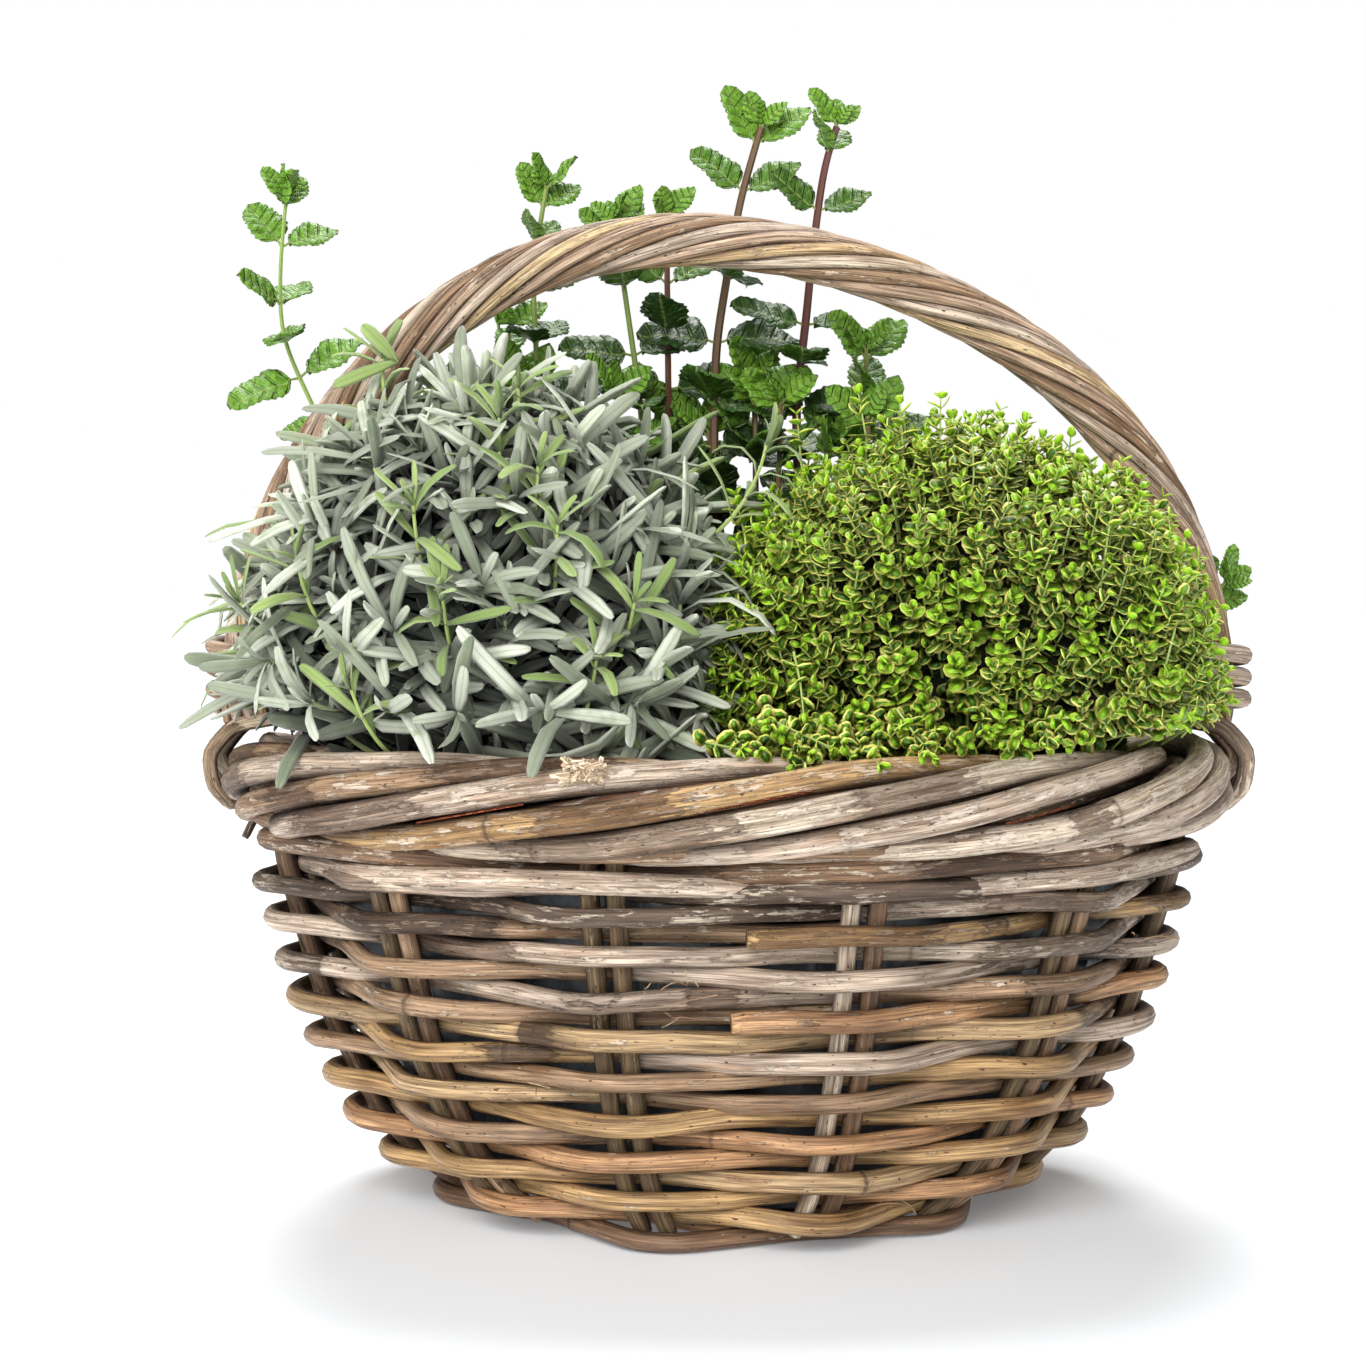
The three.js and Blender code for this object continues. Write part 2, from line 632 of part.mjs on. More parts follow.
// A mint stem with its pairs of leaves; leaves that would touch the handle or another plant are left out
function mintGeometry({ points, pairs }) {
  const radius = (t) => MINT_STEM_RADIUS * (1 - 0.3 * t);
  const pieces = [cane(points.map((p) => v3(...p)), radius, CANE_SIDES, false, v3(0, 1, 0))];
  const topHeight = points[points.length - 1][2];
  for (const [z, facing, length] of pairs) {
    const middle = stemPoint(points, z);
    const rise = z > topHeight - MINT_TUFT ? MINT_TUFT_RISE : MINT_RISE;
    for (const turn of [0, Math.PI]) {
      const a = facing * DEGREE + turn;
      const heading = v3(Math.cos(a), Math.sin(a), rise).normalize();
      const base = middle.clone().addScaledVector(heading, MINT_STEM_RADIUS * 0.3);
      const tip = base.clone().addScaledVector(heading, length);
      const wing = base.clone().addScaledVector(heading, length * 0.5);
      if (!isClear(tip, 4) || !isClear(wing, 10) || tip.y < MINT_FRONT) continue;
      pieces.push(mintLeafGeometry(base, heading, length));
    }
  }
  return geometryFrom(joined(pieces));
}

const MATERIALS = {
  cane: { color: 0xa88a68, roughness: 0.7 },
  stake: { color: 0x8a7154, roughness: 0.75 },
  border: { color: 0xb09a80, roughness: 0.75 },
  handle: { color: 0xb5966f, roughness: 0.65 },
  liner: { color: 0x2c2e30, roughness: 0.5 },
  soil: { color: 0x2a2019, roughness: 0.95 },
  lavender: { color: 0x93a08c, roughness: 0.85 },
  thyme: { color: 0x7c9a35, roughness: 0.6 },
  mint: { color: 0x3f7a2e, roughness: 0.6 },
};

const basket = new THREE.Group();

function addPiece(name, geometry, material) {
  const finish = new THREE.MeshStandardMaterial({ ...MATERIALS[material], metalness: 0 });
  const mesh = new THREE.Mesh(geometry, finish);
  mesh.name = name;
  basket.add(mesh);
}

const twoDigits = (n) => String(n).padStart(2, "0");

addPiece("base", baseGeometry(), "cane");
for (let pair = 0; pair < STAKE_PAIRS; pair++) {
  addPiece(`stake_${twoDigits(pair * 2 + 1)}`, stakeGeometry(pair, -1), "stake");
  addPiece(`stake_${twoDigits(pair * 2 + 2)}`, stakeGeometry(pair, 1), "stake");
}
for (let row = 0; row < ROWS; row++) {
  addPiece(`weave_row_${twoDigits(row + 1)}`, rowGeometry(row), "cane");
}
for (let rod = 0; rod < BORDER_RODS; rod++) {
  addPiece(`border_rod_${rod + 1}`, borderGeometry(rod), "border");
}
addPiece("handle_rope", handleGeometry(), "handle");
addPiece("binding_left", bindingGeometry(-1), "border");
addPiece("binding_right", bindingGeometry(1), "border");
addPiece("liner", linerGeometry(), "liner");
addPiece("soil", pottedSoilGeometry(), "soil");
addPiece("lavender", lavenderGeometry(), "lavender");
addPiece("thyme", thymeGeometry(), "thyme");
MINT_STEMS.forEach((stem, i) => addPiece(`mint_${i + 1}`, mintGeometry(stem), "mint"));

export default basket;
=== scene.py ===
# %% [markdown]
# # A wicker handle-basket planted with lavender, thyme and mint
# This lesson dresses a planted basket. The frame gives the solids at their real size, and each
# cell below makes one finer piece that takes the place of one of them: canes that bend round the
# stakes, a rope handle, felted lavender leaves, tiny thyme leaves and toothed mint leaves.
# All lengths are in metres, with +Z up and the front of the basket towards -Y.

# %% Load the frame
import math

import bpy
import numpy as np
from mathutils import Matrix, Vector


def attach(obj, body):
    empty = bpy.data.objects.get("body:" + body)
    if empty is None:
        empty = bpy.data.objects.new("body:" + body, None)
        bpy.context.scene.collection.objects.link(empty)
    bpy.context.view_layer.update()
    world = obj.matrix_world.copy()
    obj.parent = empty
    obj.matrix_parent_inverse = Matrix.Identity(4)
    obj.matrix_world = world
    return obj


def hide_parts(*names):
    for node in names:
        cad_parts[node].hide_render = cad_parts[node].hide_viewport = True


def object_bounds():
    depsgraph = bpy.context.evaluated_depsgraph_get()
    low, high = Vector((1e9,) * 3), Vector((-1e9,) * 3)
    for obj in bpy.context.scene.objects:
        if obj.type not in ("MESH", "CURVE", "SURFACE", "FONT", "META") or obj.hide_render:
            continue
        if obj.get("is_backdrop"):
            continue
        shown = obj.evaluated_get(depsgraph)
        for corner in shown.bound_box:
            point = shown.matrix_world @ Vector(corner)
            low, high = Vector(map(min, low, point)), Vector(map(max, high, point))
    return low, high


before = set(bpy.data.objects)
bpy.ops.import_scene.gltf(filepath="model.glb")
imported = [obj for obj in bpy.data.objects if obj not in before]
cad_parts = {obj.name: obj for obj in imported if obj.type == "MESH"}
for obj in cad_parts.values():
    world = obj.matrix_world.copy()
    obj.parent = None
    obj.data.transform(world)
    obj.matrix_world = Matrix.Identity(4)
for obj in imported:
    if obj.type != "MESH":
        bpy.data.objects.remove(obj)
cad_low, cad_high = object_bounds()
print("solids:", len(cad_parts), "box from", tuple(cad_low), "to", tuple(cad_high))

# %% [markdown]
# ## Camera, light and floor
# The basket was photographed from the front with a long lens, a little above the border and
# looking slightly down. A camera object at that place, with the same angle of view, gives the same
# overlaps between handle, leaves and border. The light is soft: a broad skylight from above and
# behind, one large panel in front and above, a weak second one at the left, and a white room around
# them, so that shadows stay pale. The last three camera values say where a place is seen: the
# middle column, how many pixels a metre covers one metre away, and the row of the horizon.

# %% The camera
CAMERA_PLACE = (-0.018, -1.030, 0.253)
CAMERA_PITCH = math.radians(87.25)
CAMERA_LENS = 67.2
CAMERA_MIDDLE = 683
CAMERA_FOCUS = 2550
CAMERA_HORIZON = 560
bpy.ops.object.select_all(action="DESELECT")
bpy.ops.object.camera_add(location=CAMERA_PLACE, rotation=(CAMERA_PITCH, 0, 0))
camera = bpy.context.object
camera.data.lens = CAMERA_LENS
camera.data.sensor_width = 36
camera.data.clip_start = 0.05
bpy.context.scene.camera = camera
print("camera at", CAMERA_PLACE, "lens", CAMERA_LENS, "mm")


# %% Light panels and room
def add_panel(name, place, aim, size, power):
    """A square soft light at place that faces the point aim."""
    bpy.ops.object.light_add(type="AREA", location=place)
    panel = bpy.context.object
    panel.name = name
    panel.data.size = size
    panel.data.energy = power
    way = np.array(aim) - np.array(place)
    flat = math.hypot(way[0], way[1])
    panel.rotation_euler = (math.atan2(flat, -way[2]), 0, math.atan2(-way[0], way[1]))
    return panel


PLANT_MIDDLE = (0, 0, 0.2)
ROOM_LIGHT = 0.20
add_panel("panel_front", (-0.4, -1.5, 1.0), PLANT_MIDDLE, 1.3, 36)
add_panel("panel_left", (-1.6, -0.3, 0.9), PLANT_MIDDLE, 0.9, 3)

SKYLIGHT_LEAN = (math.radians(-30), math.radians(-2), 0)
SKYLIGHT_POWER = 3.5
SKYLIGHT_SPREAD = math.radians(32)
bpy.ops.object.light_add(type="SUN", rotation=SKYLIGHT_LEAN)
skylight = bpy.context.object
skylight.name = "skylight"
skylight.data.energy = SKYLIGHT_POWER
skylight.data.angle = SKYLIGHT_SPREAD

room = bpy.data.worlds.new("white_room")
bpy.context.scene.world = room
room.use_nodes = True
room_light = room.node_tree.nodes["Background"]
room_light.inputs["Color"].default_value = (1, 1, 1, 1)
room_light.inputs["Strength"].default_value = ROOM_LIGHT
seen_room = room.node_tree.nodes.new("ShaderNodeBackground")
seen_room.inputs["Color"].default_value = (1, 1, 1, 1)
seen_room.inputs["Strength"].default_value = 1.0
direct = room.node_tree.nodes.new("ShaderNodeLightPath")
either = room.node_tree.nodes.new("ShaderNodeMixShader")
room.node_tree.links.new(direct.outputs["Is Camera Ray"], either.inputs["Fac"])
room.node_tree.links.new(room_light.outputs["Background"], either.inputs[1])
room.node_tree.links.new(seen_room.outputs["Background"], either.inputs[2])
room.node_tree.links.new(either.outputs["Shader"], room.node_tree.nodes["World Output"].inputs["Surface"])
bpy.context.scene.view_settings.view_transform = "Standard"

# %% The pale floor
FLOOR_SIZE = 24
bpy.ops.mesh.primitive_plane_add(size=FLOOR_SIZE, location=(0, 0, 0))
floor = bpy.context.object
floor.name = "floor"
floor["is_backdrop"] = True
print("floor:", FLOOR_SIZE, "m wide")

# %% [markdown]
# ## Helpers
# A few small functions keep the later cells short. One adds a shader node and wires it up, one
# reads and writes the points of a mesh as an array, and one stores a value on each point, which a
# material can read to let its pattern follow the piece.

# %% Helpers for points and attributes
MM = 0.001
random = np.random.default_rng(11)


def deselect():
    """Object mode, with nothing selected."""
    if bpy.context.object and bpy.context.object.mode != "OBJECT":
        bpy.ops.object.mode_set(mode="OBJECT")
    bpy.ops.object.select_all(action="DESELECT")


def choose(piece):
    """Only this piece is selected and active."""
    deselect()
    piece.select_set(True)
    bpy.context.view_layer.objects.active = piece


def get_points(piece):
    """The points of a mesh, one row each."""
    points = np.empty(len(piece.data.vertices) * 3, np.float32)
    piece.data.vertices.foreach_get("co", points)
    return points.reshape(-1, 3).astype(float)


def set_points(piece, points):
    """Moves the points of a mesh."""
    piece.data.vertices.foreach_set("co", np.asarray(points, np.float32).ravel())
    piece.data.update()


def set_attribute(piece, name, values):
    """Stores one number or one vector on each point."""
    values = np.asarray(values, np.float32)
    kind, key = ("FLOAT", "value") if values.ndim == 1 else ("FLOAT_VECTOR", "vector")
    layer = piece.data.attributes.new(name, kind, "POINT")
    layer.data.foreach_set(key, values.ravel())


def unit(vector):
    """The vector at length 1."""
    vector = np.asarray(vector, float)
    return vector / np.maximum(np.linalg.norm(vector, axis=-1, keepdims=True), 1e-9)


made_triangles = []


def settle(piece, slot, *nodes):
    """The piece rides on the basket and stands for CAD nodes, which it hides; slot is not used."""
    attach(piece, "root")
    if nodes:
        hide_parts(*nodes)
    triangles = sum(len(face.vertices) - 2 for face in piece.data.polygons)
    made_triangles.append(triangles)
    print(piece.name, "triangles:", triangles)


# %% Helpers for materials
def linear(red, green, blue):
    """A screen colour of 0 to 255 a channel as the linear colour that shaders use."""
    shares = [value / 255 for value in (red, green, blue)]
    return tuple(s / 12.92 if s < 0.04045 else ((s + 0.055) / 1.055) ** 2.4 for s in shares) + (1,)


def add_node(tree, kind, inputs=None, **settings):
    """A shader node with its settings and inputs; an input may be a value or another socket."""
    node = tree.nodes.new(kind)
    for key, value in settings.items():
        setattr(node, key, value)
    for key, value in (inputs or {}).items():
        if isinstance(value, bpy.types.NodeSocket):
            tree.links.new(value, node.inputs[key])
        else:
            node.inputs[key].default_value = value
    return node


def read_attribute(tree, name, output="Fac"):
    """A value that the piece stores on its points."""
    return add_node(tree, "ShaderNodeAttribute", attribute_name=name).outputs[output]


def math_node(tree, operation, a, b=0.0, c=0.0):
    """One sum on numbers or sockets."""
    inputs = {0: a, 1: b}
    if operation == "MULTIPLY_ADD":
        inputs[2] = c
    return add_node(tree, "ShaderNodeMath", inputs, operation=operation).outputs[0]


def noise(tree, vector, scale, stretch=(1, 1, 1), detail=3.0, roughness=0.55):
    """Noise of 0 to 1 on a stretched copy of the coordinates."""
    moved = add_node(tree, "ShaderNodeMapping", {"Vector": vector, "Scale": stretch})
    inputs = {
        "Vector": moved.outputs[0],
        "Scale": scale,
        "Detail": detail,
        "Roughness": roughness,
    }
    return add_node(tree, "ShaderNodeTexNoise", inputs).outputs["Fac"]


def band(tree, value, low, high):
    """0 below low, 1 above high, and smooth between them."""
    inputs = {"Value": value, "From Min": low, "From Max": high}
    return add_node(
        tree, "ShaderNodeMapRange", inputs, interpolation_type="SMOOTHSTEP"
    ).outputs[0]


def mix(tree, share, first, second, blend="MIX"):
    """A share of the second colour over the first."""
    node = add_node(tree, "ShaderNodeMix", data_type="RGBA", blend_type=blend)
    for index, value in ((0, share), (6, first), (7, second)):
        if isinstance(value, bpy.types.NodeSocket):
            tree.links.new(value, node.inputs[index])
        else:
            node.inputs[index].default_value = value
    return node.outputs[2]


def new_material(name, roughness, sheen=0.0):
    """A named material with a Principled shader, and its node tree."""
    material = bpy.data.materials.new(name)
    material.use_nodes = True
    shader = material.node_tree.nodes["Principled BSDF"]
    shader.inputs["Roughness"].default_value = roughness
    shader.inputs["Sheen Weight"].default_value = sheen
    return material, material.node_tree, shader


def bump(tree, shader, height, depth, strength=1.0):
    """Relief of that depth in metres on the shader's normal."""
    inputs = {"Height": height, "Distance": depth, "Strength": strength}
    node = add_node(tree, "ShaderNodeBump", inputs)
    tree.links.new(node.outputs["Normal"], shader.inputs["Normal"])


def object_coordinates(tree):
    """The place on the piece, in metres."""
    return add_node(tree, "ShaderNodeTexCoord").outputs["Object"]


def paint(piece, material):
    """The piece has this one material."""
    piece.data.materials.clear()
    piece.data.materials.append(material)


# %% The floor's paint
floor_paint, tree, shader = new_material("floor_paint", 0.6)
mottle = noise(tree, object_coordinates(tree), 3.0)
tree.links.new(
    mix(tree, mottle, linear(236, 239, 242), linear(240, 243, 246)), shader.inputs["Base Color"]
)
FLOOR_GLOW = 0.13
shader.inputs["Emission Color"].default_value = (1, 1, 1, 1)
shader.inputs["Emission Strength"].default_value = FLOOR_GLOW
paint(floor, floor_paint)
print("floor paint:", floor_paint.name)

# %% [markdown]
# ## Willow canes
# Everything woven here is a willow cane: a long rod 5 to 11 mm thick, with a slight swelling at
# each knot, a dull or peeled bark and fibres that run along it. A curve with a round bevel gives
# such a rod along any path, and `convert` turns it into a mesh of even rings. On those rings the
# distance along the cane and the place round it are known, so the material's streaks can follow
# the cane wherever it bends.

# %% Colours of the canes
CANE_TONES = {
    "grey": (194, 175, 157),
    "tan": (160, 131, 102),
    "light": (188, 159, 119),
    "gold": (182, 148, 102),
    "orange": (184, 142, 102),
    "brown": (124, 96, 72),
    "dark": (96, 80, 67),
    "russet": (134, 98, 74),
    "olive": (120, 100, 72),
    "pale": (206, 190, 170),
    "straw": (234, 214, 184),
    "blush": (188, 161, 137),
    "cream": (214, 188, 146),
}
print("cane tones:", ", ".join(CANE_TONES))


# %% Paths with rounded bends
def resample(points, spacing):
    """The same path with even steps of about spacing."""
    points = np.asarray(points, float)
    steps = np.linalg.norm(np.diff(points, axis=0), axis=1)
    distance = np.concatenate([[0], np.cumsum(steps)])
    count = max(3, int(distance[-1] / spacing) + 1)
    even = np.linspace(0, distance[-1], count)
    return np.stack([np.interp(even, distance, points[:, axis]) for axis in range(3)], axis=1)


def rounded(points, spacing, bend):
    """An even path whose corners are rounded over the length bend. Its ends stay."""
    path = resample(points, spacing)
    reach = min(max(1, round(bend / spacing / 2)), len(path) - 2)
    before = 2 * path[0] - path[reach:0:-1]
    after = 2 * path[-1] - path[-2:-reach - 2:-1]
    padded = np.concatenate([before, path, after])
    kernel = np.hanning(2 * reach + 3)[1:-1]
    kernel /= kernel.sum()
    return np.stack([np.convolve(padded[:, axis], kernel, "valid") for axis in range(3)], axis=1)


WANDER_WAVES = (1.0, 0.55, 0.31)
WANDER_HEIGHT = 1.5


def wander(count, spacing, wave, size):
    """A smooth random walk round 0, for a cane that isn't quite straight or even."""
    place = np.arange(count) * spacing
    total = np.zeros(count)
    for share in WANDER_WAVES:
        total += share * np.sin(2 * np.pi * place / (wave * share) + random.uniform(0, 2 * np.pi))
    return total * size / WANDER_HEIGHT


# %% The cane maker
CANE_STEP = 3.6 * MM
KNOT_SPACING = (0.10, 0.26)
KNOT_WIDTH = 2.4 * MM
KNOT_STRENGTHS = (0.15, 0.25, 0.4, 0.8)
BARK_EVERY = 0.20
BARK_REACH = (0.010, 0.050)
CUT_END = 0.82
GIRTH_WAVE = 0.12
GIRTH_SHARE = 0.025
SMOOTH_UNDER = math.radians(50)


def bark_stretches(along, weather):
    """1 on the few stretches where old bark still covers a cane, and 0 elsewhere."""
    bark = np.zeros(len(along))
    for _ in range(random.poisson(weather * along[-1] / BARK_EVERY)):
        middle = random.uniform(0, along[-1])
        reach = random.uniform(*BARK_REACH)
        bark = np.maximum(bark, np.clip(1.5 - np.abs(along - middle) / reach, 0, 1))
    return bark


def from_axis(path):
    """The way out of the basket at each point of a path, level."""
    return unit(np.stack([path[:, 0], path[:, 1] * 1.5, 0 * path[:, 2]], axis=1))


def make_cane(path, radius, tone, weather, swell=0.09, taper=0.0, away=None):
    """A cane as values: its path, its radius at each point, its colour, its weathering and the
    way that faces out, because the side that faces in is painted darker as shade."""
    count = len(path)
    length = CANE_STEP * (count - 1)
    along = np.linspace(0, length, count)
    knot = np.zeros(count)
    past_knot = np.full(count, 1.0)
    place = random.uniform(0.01, KNOT_SPACING[0])
    while place < length:
        strength = random.choice(KNOT_STRENGTHS)
        knot = np.maximum(knot, strength * np.exp(-(((along - place) / KNOT_WIDTH) ** 2)))
        nearer = np.abs(along - place) < np.abs(past_knot)
        past_knot[nearer] = (along - place)[nearer]
        place += random.uniform(*KNOT_SPACING)
    uneven = wander(count, CANE_STEP, GIRTH_WAVE, GIRTH_SHARE)
    girth = radius * (1 + uneven - taper * along / max(length, MM))
    girth = girth * (1 + swell * knot)
    girth[0] *= CUT_END
    girth[-1] *= CUT_END
    return {
        "path": np.asarray(path),
        "girth": girth,
        "knot": knot,
        "past_knot": past_knot,
        "tone": linear(*CANE_TONES[tone])[:3],
        "weather": weather,
        "bark": bark_stretches(along, weather),
        "away": from_axis(np.asarray(path)) if away is None else away,
    }


# %% Several canes as one mesh
def cane_piece(name, canes, material, sides=10):
    """One mesh that holds several canes, with closed ends and the values its material reads."""
    deselect()
    bpy.ops.object.add(type="CURVE")
    piece = bpy.context.object
    piece.name = name
    curve = piece.data
    curve.dimensions = "3D"
    curve.bevel_depth = 1.0
    curve.bevel_resolution = sides // 2 - 2
    for cane in canes:
        count = len(cane["path"])
        spline = curve.splines.new("POLY")
        spline.points.add(count - 1)
        spline.points.foreach_set("co", np.hstack([cane["path"], np.ones((count, 1))]).ravel())
        spline.points.foreach_set("radius", cane["girth"])
    choose(piece)
    bpy.ops.object.convert(target="MESH")
    piece = bpy.context.object
    bpy.ops.object.mode_set(mode="EDIT")
    bpy.ops.mesh.select_all(action="SELECT")
    bpy.ops.mesh.fill_holes(sides=0)
    bpy.ops.object.mode_set(mode="OBJECT")
    bpy.ops.object.shade_smooth_by_angle(angle=SMOOTH_UNDER)
    piece.data.name = name
    turn = np.tile(np.arange(sides) * 2 * np.pi / sides, sum(len(c["path"]) for c in canes))
    along, girth, knot, past_knot, bark, tone, weather, start = [], [], [], [], [], [], [], []
    centres = np.concatenate([np.repeat(c["path"], sides, axis=0) for c in canes])
    radial = unit(get_points(piece) - centres)
    away = np.concatenate([np.repeat(c["away"], sides, axis=0) for c in canes])
    # How far each point faces in, 0 on its outer side and 1 on its inner side; the cane finish paints
    # shade by it.
    set_attribute(piece, "inward_shade", 0.5 - 0.5 * (radial * away).sum(1))
    for cane in canes:
        count = len(cane["path"])
        steps = np.linalg.norm(np.diff(cane["path"], axis=0), axis=1)
        along.append(np.repeat(np.concatenate([[0], np.cumsum(steps)]), sides))
        girth.append(np.repeat(cane["girth"], sides))
        knot.append(np.repeat(cane["knot"], sides))
        past_knot.append(np.repeat(cane["past_knot"], sides))
        bark.append(np.repeat(cane["bark"], sides))
        tone.append(np.repeat(np.broadcast_to(cane["tone"], (count, 3)), sides, axis=0))
        weather.append(np.full(count * sides, cane["weather"]))
        start.append(np.tile(random.uniform(0, 5, 3), (count * sides, 1)))
    girth = np.concatenate(girth)
    grain = np.stack([np.concatenate(along), girth * np.cos(turn), girth * np.sin(turn)], axis=1)
    set_attribute(piece, "grain", grain + np.concatenate(start))
    set_attribute(piece, "knot", np.concatenate(knot))
    set_attribute(piece, "past_knot", np.concatenate(past_knot))
    set_attribute(piece, "bark", np.concatenate(bark))
    set_attribute(piece, "tone", np.concatenate(tone))
    set_attribute(piece, "weather", np.concatenate(weather))
    paint(piece, material)
    return piece


print("cane step:", CANE_STEP, "knots every", KNOT_SPACING)

# %% [markdown]
# ### The finish of the canes
# A cane's colour is uneven: fibres run along it in fine streaks, larger blotches are darker, the
# bark flakes off in ragged pale patches on weathered rods, and small dark flecks and a dark ring at
# each knot break it up. All of these are noises on the `grain` values, stretched along the cane.


# %% The material of the canes
# How wide the band is over which the painted shade on a cane's inner side comes in.
SHADE_REACH = 0.54


def times(tree, value, factor):
    """A value multiplied by a number."""
    return math_node(tree, "MULTIPLY", value, factor)


def cane_material(name, gloss, peel_colour, shade_from=0.20, cracks=0.6):
    """Streaked, blotched and flecked willow, with painted shade on the side of each cane that faces
    in. gloss is the roughness of a fresh peeled rod, the value after the peel colour says how near
    its outer side the painted shade begins, and cracks how dark its splits are."""
    material, tree, shader = new_material(name, gloss)
    grain = read_attribute(tree, "grain", "Vector")
    weather = read_attribute(tree, "weather")
    tone = read_attribute(tree, "tone", "Color")
    fibre = noise(tree, grain, 1.0, (60, 1600, 1600), 3.0, 0.6)
    streak = noise(tree, grain, 1.0, (22, 520, 520), 3.0, 0.6)
    line = noise(tree, grain, 1.0, (26, 2600, 2600), 2.0, 0.5)
    blotch = noise(tree, grain, 1.0, (22, 150, 150), 3.0, 0.6)
    ragged = noise(tree, grain, 1.0, (75, 340, 340), 6.0, 0.72)
    speck = noise(tree, grain, 1.0, (330, 900, 900), 2.0, 0.5)
    wide = mix(tree, band(tree, streak, 0.28, 0.72), (0.48, 0.43, 0.38, 1), (1.50, 1.52, 1.54, 1))
    narrow = mix(tree, band(tree, fibre, 0.25, 0.75), (0.58, 0.54, 0.50, 1), (1.34, 1.35, 1.36, 1))
    colour = mix(tree, 1.0, mix(tree, 1.0, tone, wide, "MULTIPLY"), narrow, "MULTIPLY")
    colour = mix(tree, times(tree, band(tree, line, 0.55, 0.66), cracks), colour, linear(74, 54, 38))
    dull = mix(tree, 1.0, colour, (0.60, 0.51, 0.44, 1), "MULTIPLY")
    colour = mix(tree, band(tree, blotch, 0.50, 0.70), colour, dull)
    edge = math_node(tree, "MULTIPLY_ADD", weather, 0.15, ragged)
    pale = mix(tree, band(tree, fibre, 0.35, 0.65), tone, peel_colour)
    colour = mix(tree, times(tree, band(tree, edge, 0.64, 0.66), 0.85), colour, pale)
    skin = math_node(tree, "MULTIPLY_ADD", read_attribute(tree, "bark"), 0.45, ragged)
    old_bark = mix(tree, 1.0, colour, (0.36, 0.30, 0.26, 1), "MULTIPLY")
    colour = mix(tree, times(tree, band(tree, skin, 0.80, 0.84), 0.9), colour, old_bark)
    colour = mix(tree, band(tree, speck, 0.66, 0.73), colour, linear(66, 47, 34))
    knot = read_attribute(tree, "knot")
    past = math_node(tree, "MULTIPLY_ADD", ragged, 3.0 * MM, read_attribute(tree, "past_knot"))
    past = math_node(tree, "ABSOLUTE", math_node(tree, "ADD", past, -1.5 * MM))
    near_ring = band(tree, past, 1.2 * MM, 0.3 * MM)
    ring = math_node(tree, "MULTIPLY", band(tree, knot, 0.1, 0.9), near_ring)
    collar = math_node(tree, "MULTIPLY", band(tree, knot, 0.1, 0.8), fibre)
    colour = mix(tree, times(tree, collar, 0.7), colour, linear(110, 84, 60))
    colour = mix(tree, times(tree, ring, 0.65), colour, linear(58, 40, 28))
    # Painted shade: the side of each cane that faces in, towards the wall, the roll or the core of the
    # rope, is darkened.
    painted_shade = mix(tree, 1.0, colour, (0.18, 0.135, 0.10, 1), "MULTIPLY")
    shade_share = band(tree, read_attribute(tree, "inward_shade"), shade_from, shade_from + SHADE_REACH)
    colour = mix(tree, shade_share, colour, painted_shade)
    tree.links.new(colour, shader.inputs["Base Color"])
    dryness = math_node(tree, "MULTIPLY_ADD", weather, 0.24, gloss)
    dryness = math_node(tree, "MULTIPLY_ADD", fibre, 0.18, dryness)
    tree.links.new(dryness, shader.inputs["Roughness"])
    height = math_node(tree, "MULTIPLY_ADD", band(tree, edge, 0.63, 0.67), 0.7, fibre)
    height = math_node(tree, "MULTIPLY_ADD", band(tree, skin, 0.78, 0.86), 0.8, height)
    height = math_node(tree, "MULTIPLY_ADD", line, -0.6, height)
    height = math_node(tree, "MULTIPLY_ADD", ring, -0.8, height)
    bump(tree, shader, height, 0.7 * MM, 0.8)
    return material


row_finish = cane_material("willow_rows", 0.34, linear(222, 206, 184))
stake_finish = cane_material("willow_stakes", 0.46, linear(178, 158, 128))
border_finish = cane_material("willow_border", 0.42, linear(220, 205, 188))
# The handle's painted shade begins nearer the outer side, so the grooves of the rope are darker.
handle_finish = cane_material("willow_handle", 0.44, linear(226, 206, 180), 0.05, 1.0)
print("finishes:", row_finish.name, stake_finish.name, border_finish.name, handle_finish.name)

# %% [markdown]
# ## The wall
# The wall is an oval that narrows towards the foot. Twelve pairs of upright stakes stand in it, and
# eighteen rows of cane pass in front of one pair and behind the next. The same few sizes as in the
# frame give every place on the wall, in millimetres here because they are easier to read that way.

# %% Sizes of the wall
BORDER_HEIGHT = 165.5
TOP_HALF = (182.5, 144.5)
TAPER = (57, 41.5)
TAPER_POWER = (1.7, 1.45)
FOOT_TUCK = 35
FOOT_TUCK_HEIGHT = 13.3
STAKE_LEVELS = (5.6, 16, 34, 75, 135, 170)
PAIRS = 12
PAIR_ANGLE = 2 * math.pi / PAIRS
ROWS = 18
ROW_PITCH = 7.78
FIRST_ROW = 4.1


def bend_sizes(height):
    """Half the width and half the depth of the smooth wall at a height."""
    rest = max(0.0, 1 - height / BORDER_HEIGHT)
    tuck = FOOT_TUCK * math.exp(-height / FOOT_TUCK_HEIGHT)
    return (
        TOP_HALF[0] - TAPER[0] * rest ** TAPER_POWER[0] - tuck,
        TOP_HALF[1] - TAPER[1] * rest ** TAPER_POWER[1],
    )


def wall_sizes(height):
    """The same, straight between the levels where the stakes bend."""
    levels = [bend_sizes(level) for level in STAKE_LEVELS]
    return (
        float(np.interp(height, STAKE_LEVELS, [level[0] for level in levels])),
        float(np.interp(height, STAKE_LEVELS, [level[1] for level in levels])),
    )


